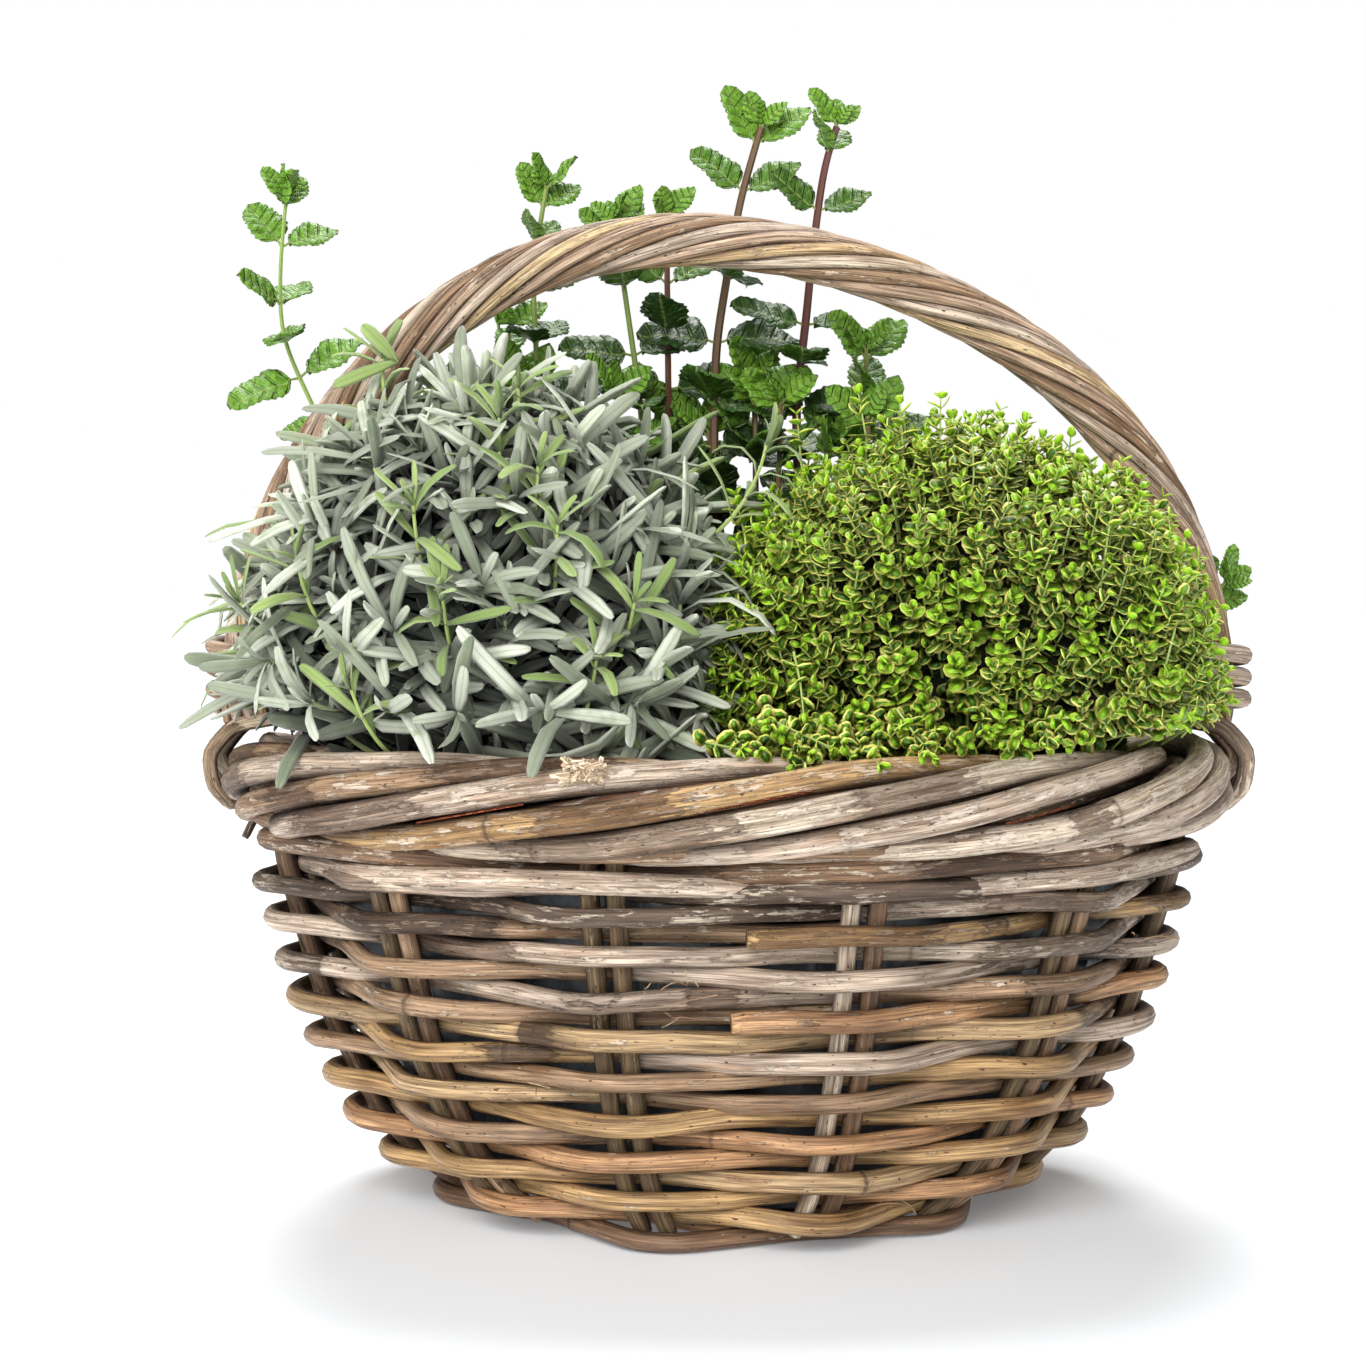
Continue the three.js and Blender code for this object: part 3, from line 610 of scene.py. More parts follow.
def wall_point(angle, height, out=0.0, slide=0.0):
    """A point on the wall, moved outwards by out and along the wall by slide."""
    half_width, half_depth = wall_sizes(height)
    away = unit((half_depth * math.cos(angle), half_width * math.sin(angle)))
    x = half_width * math.cos(angle) + away[0] * out - away[1] * slide
    y = half_depth * math.sin(angle) + away[1] * out + away[0] * slide
    return np.array([x, y, height]) * MM


print("wall at the foot:", bend_sizes(0), "at the border:", bend_sizes(BORDER_HEIGHT))

# %% [markdown]
# ### Woven rows
# A real row is woven from several rods, each pushed in behind a pair of stakes where the last one
# ends. Each rod here gets straight stretches between the pairs and a flat pass over every second
# pair, and the corners are then rounded, which is how a stiff rod lies. The upper rods are grey
# with bark flaking off them, and the lower ones are smooth and golden. A few stretches are nearly
# black with old bark, and these lie where the photo shows them. The broad, weaker ones at the
# right also darken that side of the wall as painted shade.

# %% Values of the rows
OUTSIDE = 8.0
LEFT_BULGE = {5: 3.5, 6: 3.5}
INSIDE = -8.6
PASS_HALF = 9
ROW_BEND = 24 * MM
ROW_RADIUS = (3.65, 4.35)
ROW_CLEAR = 1.13
ROW_TAPER = 0.06
ROW_WANDER = (0.17, 1.2 * MM)
BACK_TONES = ("tan", "gold", "light", "grey", "orange")
GREY_FROM_ROW = 8
SHOWN_START_OUT = 4.5
FRONT_TONES = (
    ("brown", "brown"),
    ("orange", "gold"),
    ("gold", "orange"),
    ("gold", "light"),
    ("orange", "gold"),
    ("tan", "orange"),
    ("gold", "gold"),
    ("light", "tan"),
    ("tan", "gold"),
    ("gold", "grey"),
    ("light", "light"),
    ("tan", "orange"),
    ("grey", "tan"),
    ("tan", "grey"),
    ("grey", "pale"),
    ("tan", "gold"),
    ("dark", "grey"),
    ("grey", "dark"),
)
SHOWN_STARTS = {15: 43, 11: 46}
FRONT_RIGHT_PAIR = 9
# Dark stretches of old bark; the broad, weaker ones at the right also stand for that side's shade as
# painted shade.
DARK_SEEN = (
    (375, 914, 40, 1.0), (430, 924, 50, 1.0), (480, 932, 30, 0.9), (315, 955, 34, 0.8),
    (520, 1047, 44, 1.0), (600, 1000, 80, 0.6), (1030, 908, 80, 0.7), (1050, 940, 100, 0.8),
    (1000, 975, 90, 0.6), (1080, 1010, 80, 0.7), (1050, 1060, 80, 0.5), (330, 1010, 50, 0.5),
    (300, 890, 40, 0.6), (700, 955, 70, 0.5), (840, 1030, 60, 0.5),
)
DARK_HALF_HEIGHT = 13
DARK_TONE = 0.55
print("rows:", ROWS, "with dark stretches at", len(DARK_SEEN), "places")


# %% Dark stretches and the way of a rod
def dark_stretches(path):
    """How much old bark a rod of the front has, where the photo shows it dark; the broad, weaker
    entries at the right also paint the shade of that side. Each entry of DARK_SEEN is a pixel, how
    far the stretch reaches to each side of it, and its strength."""
    eye = np.array(CAMERA_PLACE)
    ahead = (path[:, 1] - eye[1]) / CAMERA_FOCUS
    px = CAMERA_MIDDLE + (path[:, 0] - eye[0]) / ahead
    py = CAMERA_HORIZON - (path[:, 2] - eye[2]) / ahead
    dark = np.zeros(len(path))
    for at_x, at_y, reach, strength in DARK_SEEN:
        near = (np.abs(py - at_y) < DARK_HALF_HEIGHT) & (path[:, 1] < 0)
        dark = np.maximum(dark, strength * near * np.clip(1.5 - np.abs(px - at_x) / reach, 0, 1))
    return dark


def row_way(row, first, last):
    """The way of a rod from behind one pair of stakes to behind another."""
    height = FIRST_ROW + ROW_PITCH * row
    spots = []
    for pair in range(first, last + 1):
        angle = (pair + 0.5) * PAIR_ANGLE
        if (pair + row) % 2:
            spots.append(wall_point(angle, height, INSIDE))
        else:
            out = OUTSIDE + LEFT_BULGE.get(pair % PAIRS, 0)
            spots.append(wall_point(angle, height, out, -PASS_HALF))
            spots.append(wall_point(angle, height, out, PASS_HALF))
    return spots


# %% Make the rows
def row_rods(row):
    """The rods of one row: one at the left front, one at the right front and one at the back."""
    middle = FRONT_RIGHT_PAIR if row % 2 == 0 else FRONT_RIGHT_PAIR - 1
    left, right = FRONT_TONES[row]
    back = random.choice(BACK_TONES)
    spans = [(middle - 4, middle, left), (middle, middle + 4, right), (middle + 4, middle + 8, back)]
    if left == right:
        spans = [(middle - 4, middle + 2, left), (middle + 2, middle + 8, back)]
    weather = np.clip((row - GREY_FROM_ROW) / (ROWS - 1 - GREY_FROM_ROW), 0, 1) * 0.75 + 0.08
    rods = []
    for first, last, tone in spans:
        way = row_way(row, first, last)
        front_right = (FRONT_RIGHT_PAIR + 0.5) * PAIR_ANGLE
        if row in SHOWN_STARTS and first == middle:
            height = FIRST_ROW + ROW_PITCH * row
            way[0] = wall_point(front_right, height, SHOWN_START_OUT, -SHOWN_STARTS[row])
        elif row in SHOWN_STARTS and last == middle:
            way.append(wall_point(front_right, FIRST_ROW + ROW_PITCH * row, INSIDE))
        path = rounded(way, CANE_STEP, ROW_BEND)
        path[:, 2] += wander(len(path), CANE_STEP, *ROW_WANDER)
        radius = random.uniform(*ROW_RADIUS) * MM
        path[:, 2] = np.maximum(path[:, 2], radius * ROW_CLEAR)
        rod = make_cane(path, radius, tone, weather * random.uniform(0.7, 1.3), taper=ROW_TAPER)
        # Old bark, and at the right painted shade, darken the rod where DARK_SEEN lists it.
        dark = dark_stretches(path)
        rod["bark"] = np.maximum(rod["bark"], dark)
        rod["tone"] = np.array(rod["tone"]) * (1 - DARK_TONE * dark)[:, None]
        rods.append(rod)
    return rods


for row in range(ROWS):
    rods = cane_piece(f"row_rods_{row + 1:02d}", row_rods(row), row_finish)
    settle(rods, "cane", f"weave_row_{row + 1:02d}")

# %% [markdown]
# ### Stakes
# The stakes are pairs of darker rods that lean out with the wall. Each is one cane through the
# levels where the wall bends, pushed into the foot at the bottom and up into the border at the top.

# %% The stakes
STAKE_RADIUS = 3.6
STAKE_SLIDE = 4.8
STAKE_TOP = 168
STAKE_TONES = ("olive", "brown", "olive", "tan", "olive", "olive")
PALE_STAKE = 19
STAKE_BEND = 20 * MM
STAKE_WEATHER = 0.35

for number in range(2 * PAIRS):
    pair, side = divmod(number, 2)
    angle = (pair + 0.5) * PAIR_ANGLE
    slide = STAKE_SLIDE if side else -STAKE_SLIDE
    levels = list(STAKE_LEVELS[:-1]) + [STAKE_TOP]
    way = [wall_point(angle, level, 0, slide) for level in levels]
    path = rounded(way, CANE_STEP, STAKE_BEND)
    tone = "pale" if number == PALE_STAKE - 1 else STAKE_TONES[number % len(STAKE_TONES)]
    stake = make_cane(path, STAKE_RADIUS * MM, tone, STAKE_WEATHER, swell=0.05)
    rod = cane_piece(f"stake_rod_{number + 1:02d}", [stake], stake_finish, sides=8)
    settle(rod, "stake", f"stake_{number + 1:02d}")

# %% [markdown]
# ### The wale
# Just under the border the rods are packed close: three of them wind round together, each over two
# pairs of stakes and behind the third, so that they make long slanted passes with no gap.

# %% The wale under the border
WALE_RODS = 3
WALE_HEIGHTS = (138.0, 144.5, 151.0)
WALE_OUT = 9.5
WALE_IN = -6.5
WALE_LIFTS = (-2.6, 0.5, 2.8)
WALE_RADIUS = 4.3
WALE_BEND = 40 * MM
WALE_TONES = ("grey", "brown", "tan")


def wale_way(rod):
    """Over two pairs and behind one, rising a little on the way out."""
    spots = []
    for pair in range(PAIRS + 1):
        step = (pair + rod) % WALE_RODS
        angle = (pair + 0.5) * PAIR_ANGLE
        height = WALE_HEIGHTS[rod] + WALE_LIFTS[step]
        spots.append(wall_point(angle, height, WALE_IN if step == 0 else WALE_OUT))
    return spots


wale = []
for rod, tone in enumerate(WALE_TONES):
    path = rounded(wale_way(rod), CANE_STEP, WALE_BEND)
    wale.append(make_cane(path, WALE_RADIUS * MM, tone, 0.7))
settle(cane_piece("wale_rods", wale, row_finish), "cane")

# %% [markdown]
# ## The rolled border
# The stakes of such a basket end in a thick rolled border: rods about 10 mm thick come up from
# inside, sweep over the outside, rise to the right and go down inside again. All of them lie on one
# helix that closes after seven rounds, so one formula gives a rod's place in the roll from its place
# round the rim. The helix is cut into rods of two turns, whose ends meet on the inside. One rod is
# cut short on top, beside the right foot of the handle, where its blunt end shows. Thinner rods fill
# the roll.

# %% The border
BORDER_ROUNDS = 7
BORDER_TURNS = 17 / BORDER_ROUNDS
BORDER_RODS = 8
BORDER_SPAN = 2 * 2 * math.pi / BORDER_TURNS
BORDER_RADIUS = (4.9, 5.6)
ROLL_WIDTH = 15.4
ROLL_HEIGHT = 13.8
ROLL_WAVE = 0.10
BLUNT_END = math.radians(-27)
RIM_STEPS = 260
BORDER_TONES = ("grey", "tan", "pale", "gold", "grey", "pale", "tan", "grey")
FILLER_RODS = 4
FILLER_TURNS = 5
FILLER_ROLL = 6.5
FILLER_RADIUS = 4.6
FILLER_TONES = ("brown", "tan", "russet", "olive")
ROD_WEATHER = 0.75
ROD_BEND = 16 * MM
FILLER_BEND = 8 * MM


def rim_point(angle, roll, width=ROLL_WIDTH, height=ROLL_HEIGHT):
    """A point of the roll: roll 0 is outside, a quarter turn is on top."""
    half_width, half_depth = TOP_HALF
    away = unit((half_depth * math.cos(angle), half_width * math.sin(angle)))
    out = width * math.cos(roll)
    x = half_width * math.cos(angle) + away[0] * out
    y = half_depth * math.sin(angle) + away[1] * out
    return np.array([x, y, BORDER_HEIGHT + height * math.sin(roll)]) * MM


def rolled_rod(angles, rolls, radius, tone, bend, size=(ROLL_WIDTH, ROLL_HEIGHT)):
    """A rod that follows the roll, with its outer side away from the middle of the roll."""
    way = [rim_point(angle, roll, *size) for angle, roll in zip(angles, rolls)]
    path = rounded(way, CANE_STEP, bend)
    place = np.linspace(0, 1, len(path)) * (len(angles) - 1)
    turns = np.interp(place, np.arange(len(angles)), angles)
    middle = np.array([rim_point(turn, 0, 0) for turn in turns])
    away = unit(path - middle)
    path[:, 2] += wander(len(path), CANE_STEP, 0.2, 0.8 * MM)
    return make_cane(path, radius * MM, tone, ROD_WEATHER, taper=0.06, away=away)


print("each border rod goes", round(math.degrees(BORDER_SPAN)), "degrees round the rim")

# %% Make the border
border = []
for number in range(BORDER_RODS):
    first = BLUNT_END + math.pi / 2 / BORDER_TURNS + BORDER_SPAN * number
    whole = BLUNT_END + 2 * math.pi * BORDER_ROUNDS
    last = first + BORDER_SPAN if number < BORDER_RODS - 1 else whole
    angles = np.linspace(first, last, RIM_STEPS)
    rolls = BORDER_TURNS * (angles - BLUNT_END) + math.pi / 2
    rolls = rolls + ROLL_WAVE * np.sin(1.7 * angles + random.uniform(0, 2 * math.pi))
    radius = random.uniform(*BORDER_RADIUS)
    border.append(rolled_rod(angles, rolls, radius, BORDER_TONES[number], ROD_BEND))
for number in range(FILLER_RODS):
    angles = np.linspace(0, 2 * math.pi, RIM_STEPS)
    rolls = FILLER_TURNS * angles + number * 2 * math.pi / FILLER_RODS
    tone = FILLER_TONES[number]
    size = (FILLER_ROLL, FILLER_ROLL)
    border.append(rolled_rod(angles, rolls, FILLER_RADIUS, tone, FILLER_BEND, size))
border_piece = cane_piece("border_rods", border, border_finish, sides=12)
settle(border_piece, "border", *[f"border_rod_{number + 1}" for number in range(4)])

# %% [markdown]
# ## The handle
# The handle is a rope of ten canes laid round a stiff hoop. A strand's path is the arch plus a
# circle round it, and the strands turn three times on the way. Seen from the front they climb from
# the inner edge to the outer edge towards the right.

# %% The handle
ARCH_HALF_SPAN = 193.7
ARCH_SPRING = 200
ARCH_RISE = 180.7
ARCH_FOOT = 187.8
ARCH_LEAN = 5
STRANDS = 10
STRAND_RADIUS = 2.7
LAY_RADIUS = 8.2
LAY_TURNS = 3
ARCH_STEPS = 170
HOOP_RADIUS = 6.8
STRAND_TONES = ("blush", "cream", "grey", "blush", "tan", "pale", "light", "blush", "grey", "tan")


def arch_way():
    """The middle of the handle from its left foot to its right foot."""
    spots = [(-ARCH_HALF_SPAN, 0, ARCH_FOOT)]
    for share in np.linspace(0, 1, ARCH_STEPS):
        turn = math.pi * share
        x = -ARCH_HALF_SPAN * math.cos(turn)
        drop = ARCH_LEAN * math.sin(math.pi * x / ARCH_HALF_SPAN)
        spots.append((x, 0, ARCH_SPRING + ARCH_RISE * math.sin(turn) - drop))
    spots.append((ARCH_HALF_SPAN, 0, ARCH_FOOT))
    return resample(np.array(spots) * MM, CANE_STEP)


arch = arch_way()
arch_along = unit(np.gradient(arch, axis=0))
arch_out = np.stack([-arch_along[:, 2], np.zeros(len(arch)), arch_along[:, 0]], axis=1)
arch_front = np.array([0, -1, 0])


def strand(number):
    """One strand of the rope."""
    lay = 2 * np.pi * (LAY_TURNS * np.linspace(0, 1, len(arch)) + number / STRANDS)
    lay = lay[:, None]
    radius = (LAY_RADIUS + wander(len(arch), CANE_STEP, 0.1, 0.25)[:, None]) * MM
    away = np.sin(lay) * arch_front - np.cos(lay) * arch_out
    path = arch + radius * away
    return make_cane(path, STRAND_RADIUS * MM, STRAND_TONES[number], 0.4, 0.06, away=away)


hoop = make_cane(arch, HOOP_RADIUS * MM, "dark", 0.2)
rope = cane_piece("handle_strands", [strand(n) for n in range(STRANDS)] + [hoop], handle_finish)
settle(rope, "handle", "handle_rope")

# %% [markdown]
# ### Bindings
# A cane is wound three times round each foot of the handle, and two loops run from there over the
# outside of the border and back in, so that the handle can't lift out.

# %% The bindings
WRAP_RADIUS = 14.7
WRAP_TOP = 221
WRAP_PITCH = 8.7
WRAP_TURNS = 3.2
BINDING_RADIUS = {"left": 3.0, "right": 3.8}
BINDING_TONES = {"left": ("blush", "straw", "pale"), "right": ("grey", "pale", "blush")}
BINDING_LOOPS = ((180, 207.5, 154, 14), (182, 205.5, 164, 6))
WRAP_STEPS = 60
# How far the painted shade of the loops is turned off their front and rear halves.
OPEN_SIDE = np.array([0, 34, 0])


def wrap_way(side):
    """Round the foot of the handle and down."""
    spots = []
    for share in np.linspace(0, 1, WRAP_STEPS):
        turn = 2 * math.pi * WRAP_TURNS * share + math.pi / 2
        x = side * ARCH_HALF_SPAN + WRAP_RADIUS * math.cos(turn)
        spots.append((x, WRAP_RADIUS * math.sin(turn), WRAP_TOP - WRAP_PITCH * WRAP_TURNS * share))
    return np.array(spots) * MM


def loop_way(side, inner, outer, bottom, spread):
    """A loop from the foot of the handle down over the outside of the border and back in."""
    spots = [
        (inner, -spread * 0.4, 190),
        (outer - 9, -spread * 0.8, 187),
        (outer, -spread, 176),
        (outer - 1, -spread * 0.8, bottom + 9),
        (outer - 7, 0, bottom),
        (outer - 1, spread * 0.8, bottom + 9),
        (outer, spread, 176),
        (outer - 9, spread * 0.8, 187),
        (inner, spread * 0.4, 190),
    ]
    return np.array([(side * x, y, z) for x, y, z in spots]) * MM


for side, name in ((-1, "left"), (1, "right")):
    ways = [wrap_way(side)] + [loop_way(side, *sizes) for sizes in BINDING_LOOPS]
    wrap_middle = (side * ARCH_HALF_SPAN, 0, WRAP_TOP - WRAP_PITCH * WRAP_TURNS / 2)
    middles = [wrap_middle] + len(BINDING_LOOPS) * [(side * TOP_HALF[0], 0, BORDER_HEIGHT)]
    canes = []
    for way, middle, tone in zip(ways, middles, BINDING_TONES[name]):
        path = rounded(way, CANE_STEP, 9 * MM)
        # The way out leans to the front on a loop's front half and to the back on its rear half, so the
        # painted shade falls on the inner sides of the loops.
        away = unit(path - np.array(middle) * MM + np.sign(path[:, 1:2]) * OPEN_SIDE * MM)
        canes.append(make_cane(path, BINDING_RADIUS[name] * MM, tone, 0.6, swell=0.04, away=away))
    settle(cane_piece(f"binding_{name}_cane", canes, border_finish), "border", f"binding_{name}")

# %% [markdown]
# ### Loose ends
# A basket that has been used has fibres that split off, a short stub with a torn brush of fibres on
# the border, a snapped twig, and a thin twisted copper wire that ties the border to the wall. They
# are thin canes too, so the same maker draws them, from places where the photograph shows them.

# %% Places on the front seen at a pixel

def front_at(px, py, out):
    """The place on the front of the wall that is seen at a pixel, moved out, in millimetres."""
    eye = np.array(CAMERA_PLACE) / MM
    y = -TOP_HALF[1]
    for _ in range(30):
        x = eye[0] + (px - CAMERA_MIDDLE) * (y - eye[1]) / CAMERA_FOCUS
        z = eye[2] - (py - CAMERA_HORIZON) * (y - eye[1]) / CAMERA_FOCUS
        half_width, half_depth = wall_sizes(z)
        rest = max(0.0, 1 - (x / (half_width + out)) ** 2)
        y = -(half_depth + out) * math.sqrt(rest)
    return np.array([x, y, z])


def seen_at_depth(px, py, y):
    """The place at the depth y that is seen at a pixel, in millimetres."""
    eye = np.array(CAMERA_PLACE) / MM
    ahead = (y - eye[1]) / CAMERA_FOCUS
    return np.array([eye[0] + (px - CAMERA_MIDDLE) * ahead, y, eye[2] - (py - CAMERA_HORIZON) * ahead])


# %% Values of the fibres, the wire, the stub and the twig
FIBRE_SPOTS = (
    (690, 985), (670, 1018), (665, 1010), (905, 1210),
    (655, 990), (1150, 940), (800, 812), (540, 1090),
)
FIBRES_A_SPOT = 3
FIBRE_RADIUS = 0.22
FIBRE_TONES = ("light", "tan", "brown")
THIN_STEP = 0.9 * MM
THIN_BEND = 8 * MM
WIRE_RUNS = ((-125, -112), (-96, -82), (-61, -52))
WIRE_RADIUS = 0.26
WIRE_TWIST = 2.4
WIRE_OUT = 1.2
STUB_AT = (583, 770)
STUB_OUT = 16.5
STUB_RADIUS = 4.8
STUB_FIBRES = 130
TWIG_AT = (243, 838)
TWIG_RADIUS = 1.7


def thin_cane(way, radius, tone):
    """A fibre or wire along a few points in millimetres."""
    path = rounded(np.array(way) * MM, THIN_STEP, THIN_BEND)
    # The way out faces the front, so the finish paints shade on the back of each fibre.
    away = np.tile((0, -1, 0), (len(path), 1))
    return make_cane(path, radius * MM, tone, 0.2, swell=0.0, away=away)


print("fibres:", len(FIBRE_SPOTS) * FIBRES_A_SPOT, "and", STUB_FIBRES, "in the brush of the stub")

# %% Make the fibres, the stub and the twig
loose = []
for px, py in FIBRE_SPOTS:
    for _ in range(FIBRES_A_SPOT):
        spot = front_at(px + random.uniform(-14, 14), py + random.uniform(-4, 4), OUTSIDE + 3)
        side = random.normal(0, 1, 3) * (8, 1, 2.5)
        lift = np.array([0, -random.uniform(1, 2.5), random.uniform(-1, 3)])
        way = [spot, spot + side * 0.4 + lift, spot + side + lift * 0.6]
        loose.append(thin_cane(way, FIBRE_RADIUS, random.choice(FIBRE_TONES)))
stub_end = front_at(*STUB_AT, STUB_OUT)
stub_way = [stub_end + (16, 14, -8), stub_end + (6, 6, -2), stub_end]
stub_path = rounded(np.array(stub_way) * MM, CANE_STEP, THIN_BEND)
loose.append(make_cane(stub_path, STUB_RADIUS * MM, "straw", 0.9))
for _ in range(STUB_FIBRES):
    rim = random.uniform(-1, 1, 3) * (6.0, 1.6, 3.6)
    spread = random.normal(0, 1, 3) * (2.4, 0.8, 1.3) + (-0.8, -0.6, 0.2)
    way = [stub_end + rim * 0.8 + (3, 3, -1), stub_end + rim, stub_end + rim + spread]
    loose.append(thin_cane(way, random.uniform(0.45, 1.0), "straw"))
twig_end = front_at(*TWIG_AT, OUTSIDE + 2)
twig_way = [twig_end + (12, 6, 20), twig_end + (4, 1, 8), twig_end]
twig_path = rounded(np.array(twig_way) * MM, 2 * MM, THIN_BEND)
loose.append(make_cane(twig_path, TWIG_RADIUS * MM, "dark", 0.9))
settle(cane_piece("loose_fibres", loose, border_finish, sides=6), "border")

# %% Make the copper wire
# The wire lies in the grooves between the border's rods, so each run starts from one of them.
wires = []
GROOVE = 2 * math.pi / BORDER_ROUNDS
WIRE_SIZE = (ROLL_WIDTH + WIRE_OUT, ROLL_HEIGHT + WIRE_OUT)
WIRE_STEP = 0.5
for run in WIRE_RUNS:
    angles = np.linspace(math.radians(run[0]), math.radians(run[1]), 12)
    rolls = BORDER_TURNS * (angles - BLUNT_END) + math.pi / 2 + GROOVE / 2
    rolls = rolls - GROOVE * round(rolls[6] / GROOVE)
    spots = [rim_point(angle, roll, *WIRE_SIZE) for angle, roll in zip(angles, rolls)]
    middle = resample(np.array(spots) / MM, WIRE_STEP)
    turn = 2 * np.pi * np.arange(len(middle)) * WIRE_STEP / WIRE_TWIST
    for half in (0, np.pi):
        coil = np.stack([0 * turn, np.cos(turn + half), np.sin(turn + half)], axis=1)
        path = (middle + WIRE_RADIUS * coil) * MM
        wires.append(make_cane(path, WIRE_RADIUS * MM, "orange", 0.0, swell=0.0))
wire_piece = cane_piece("copper_wire", wires, row_finish, sides=6)
copper, tree, shader = new_material("copper_wire", 0.3)
shader.inputs["Metallic"].default_value = 1.0
tarnish = noise(tree, object_coordinates(tree), 300, detail=3.0)
colour = mix(tree, tarnish, linear(84, 42, 30), linear(146, 82, 56))
tree.links.new(colour, shader.inputs["Base Color"])
bump(tree, shader, tarnish, 0.1 * MM, 0.4)
paint(wire_piece, copper)
settle(wire_piece, "border")

# %% [markdown]
# ## Liner, soil and base
# A thin dark film keeps the soil in and shows between the rods. It is an open shell a little inside
# the wall, with creases from being pushed into the basket. The soil fills it with a low crown.

# %% The liner
LINER_BOTTOM = 12
LINER_TOP = 159
LINER_INSET = 14.6
LINER_SIDES = 144
LINER_LEVELS = 24
LINER_THICKNESS = 1.0 * MM
LINER_SMOOTH_UNDER = math.radians(40)
deselect()
bpy.ops.mesh.primitive_cylinder_add(
    vertices=LINER_SIDES, radius=1, depth=1, end_fill_type="NOTHING", location=(0, 0, 0.5)
)
liner = bpy.context.object
liner.name = "liner_film"
bpy.ops.object.transform_apply(location=True, rotation=True, scale=True)
bpy.ops.object.mode_set(mode="EDIT")
bpy.ops.mesh.select_all(action="SELECT")
for level in range(1, LINER_LEVELS):
    bpy.ops.mesh.select_all(action="SELECT")
    bpy.ops.mesh.bisect(plane_co=(0, 0, level / LINER_LEVELS), plane_no=(0, 0, 1))
bpy.ops.object.mode_set(mode="OBJECT")
points = get_points(liner)
angle = np.arctan2(points[:, 1], points[:, 0])
height = LINER_BOTTOM + (LINER_TOP - LINER_BOTTOM) * points[:, 2]
crease = 0.5 * np.sin(23 * angle + 0.07 * height) + 0.4 * np.sin(41 * angle - 0.11 * height + 1)
sizes = np.array([wall_sizes(h) for h in height])
points[:, 0] = (sizes[:, 0] - LINER_INSET + crease) * np.cos(angle)
points[:, 1] = (sizes[:, 1] - LINER_INSET + crease) * np.sin(angle)
points[:, 2] = height
set_points(liner, points * MM)
choose(liner)
wall = liner.modifiers.new("film", "SOLIDIFY")
wall.thickness = LINER_THICKNESS
wall.offset = -1
bpy.ops.object.modifier_apply(modifier=wall.name)
bpy.ops.object.shade_smooth_by_angle(angle=LINER_SMOOTH_UNDER)
film, tree, shader = new_material("liner_film", 0.34)
crinkle = noise(tree, object_coordinates(tree), 160, (1, 1, 0.35), 4.0)
colour = mix(tree, crinkle, linear(20, 22, 25), linear(54, 58, 63))
tree.links.new(colour, shader.inputs["Base Color"])
bump(tree, shader, crinkle, 1.5 * MM, 0.8)
paint(liner, film)
settle(liner, "liner", "liner")

# %% The soil
SOIL_HALF = (157, 119)
SOIL_TOP = 163
SOIL_CROWN = 9
SOIL_DEPTH = 148
SOIL_EDGE = SOIL_TOP - 4
SOIL_BOTTOM = 15
CRUMB_HEIGHT = 0.8
SOFT_SMOOTH_UNDER = math.radians(60)
deselect()
bpy.ops.mesh.primitive_uv_sphere_add(segments=96, ring_count=48, radius=1)
soil = bpy.context.object
soil.name = "soil_fill"
points = get_points(soil)
flat = np.hypot(points[:, 0], points[:, 1])
upper = points[:, 2] > 0
crumbs = random.normal(0, CRUMB_HEIGHT, len(points)) * (flat < 0.97)
crown = SOIL_EDGE + (SOIL_TOP + SOIL_CROWN - SOIL_EDGE) * points[:, 2] + crumbs
low = SOIL_EDGE + points[:, 2] * SOIL_DEPTH
height = np.where(upper, crown, np.maximum(low, SOIL_BOTTOM))
shrink = np.array([wall_sizes(h) for h in height]) / np.array(TOP_HALF)
side = np.where(upper, flat, np.maximum(flat, 0.0) ** 0.25) / np.maximum(flat, 1e-6)
side = np.where(flat < 1e-5, 0, side)
points[:, 0] *= side * shrink[:, 0] * (SOIL_HALF[0] - 2)
points[:, 1] *= side * shrink[:, 1] * (SOIL_HALF[1] - 2)
points[:, 2] = height
set_points(soil, points * MM)
choose(soil)
bpy.ops.object.shade_smooth_by_angle(angle=SOFT_SMOOTH_UNDER)
earth, tree, shader = new_material("moist_soil", 0.9)
place = object_coordinates(tree)
clods = noise(tree, place, 260, detail=5.0)
bits = noise(tree, place, 900, detail=2.0)
colour = mix(tree, clods, linear(30, 22, 16), linear(86, 64, 46))
colour = mix(tree, band(tree, bits, 0.66, 0.7), colour, linear(150, 128, 100))
tree.links.new(colour, shader.inputs["Base Color"])
bump(tree, shader, clods, 2.0 * MM, 0.9)
paint(soil, earth)
settle(soil, "soil", "soil")

# %% [markdown]
# The base is woven flat: sticks cross in the middle, and rods wind round them in growing ovals, over
# and under. It is hardly ever seen, but the basket may be lifted, so it is made the same way.

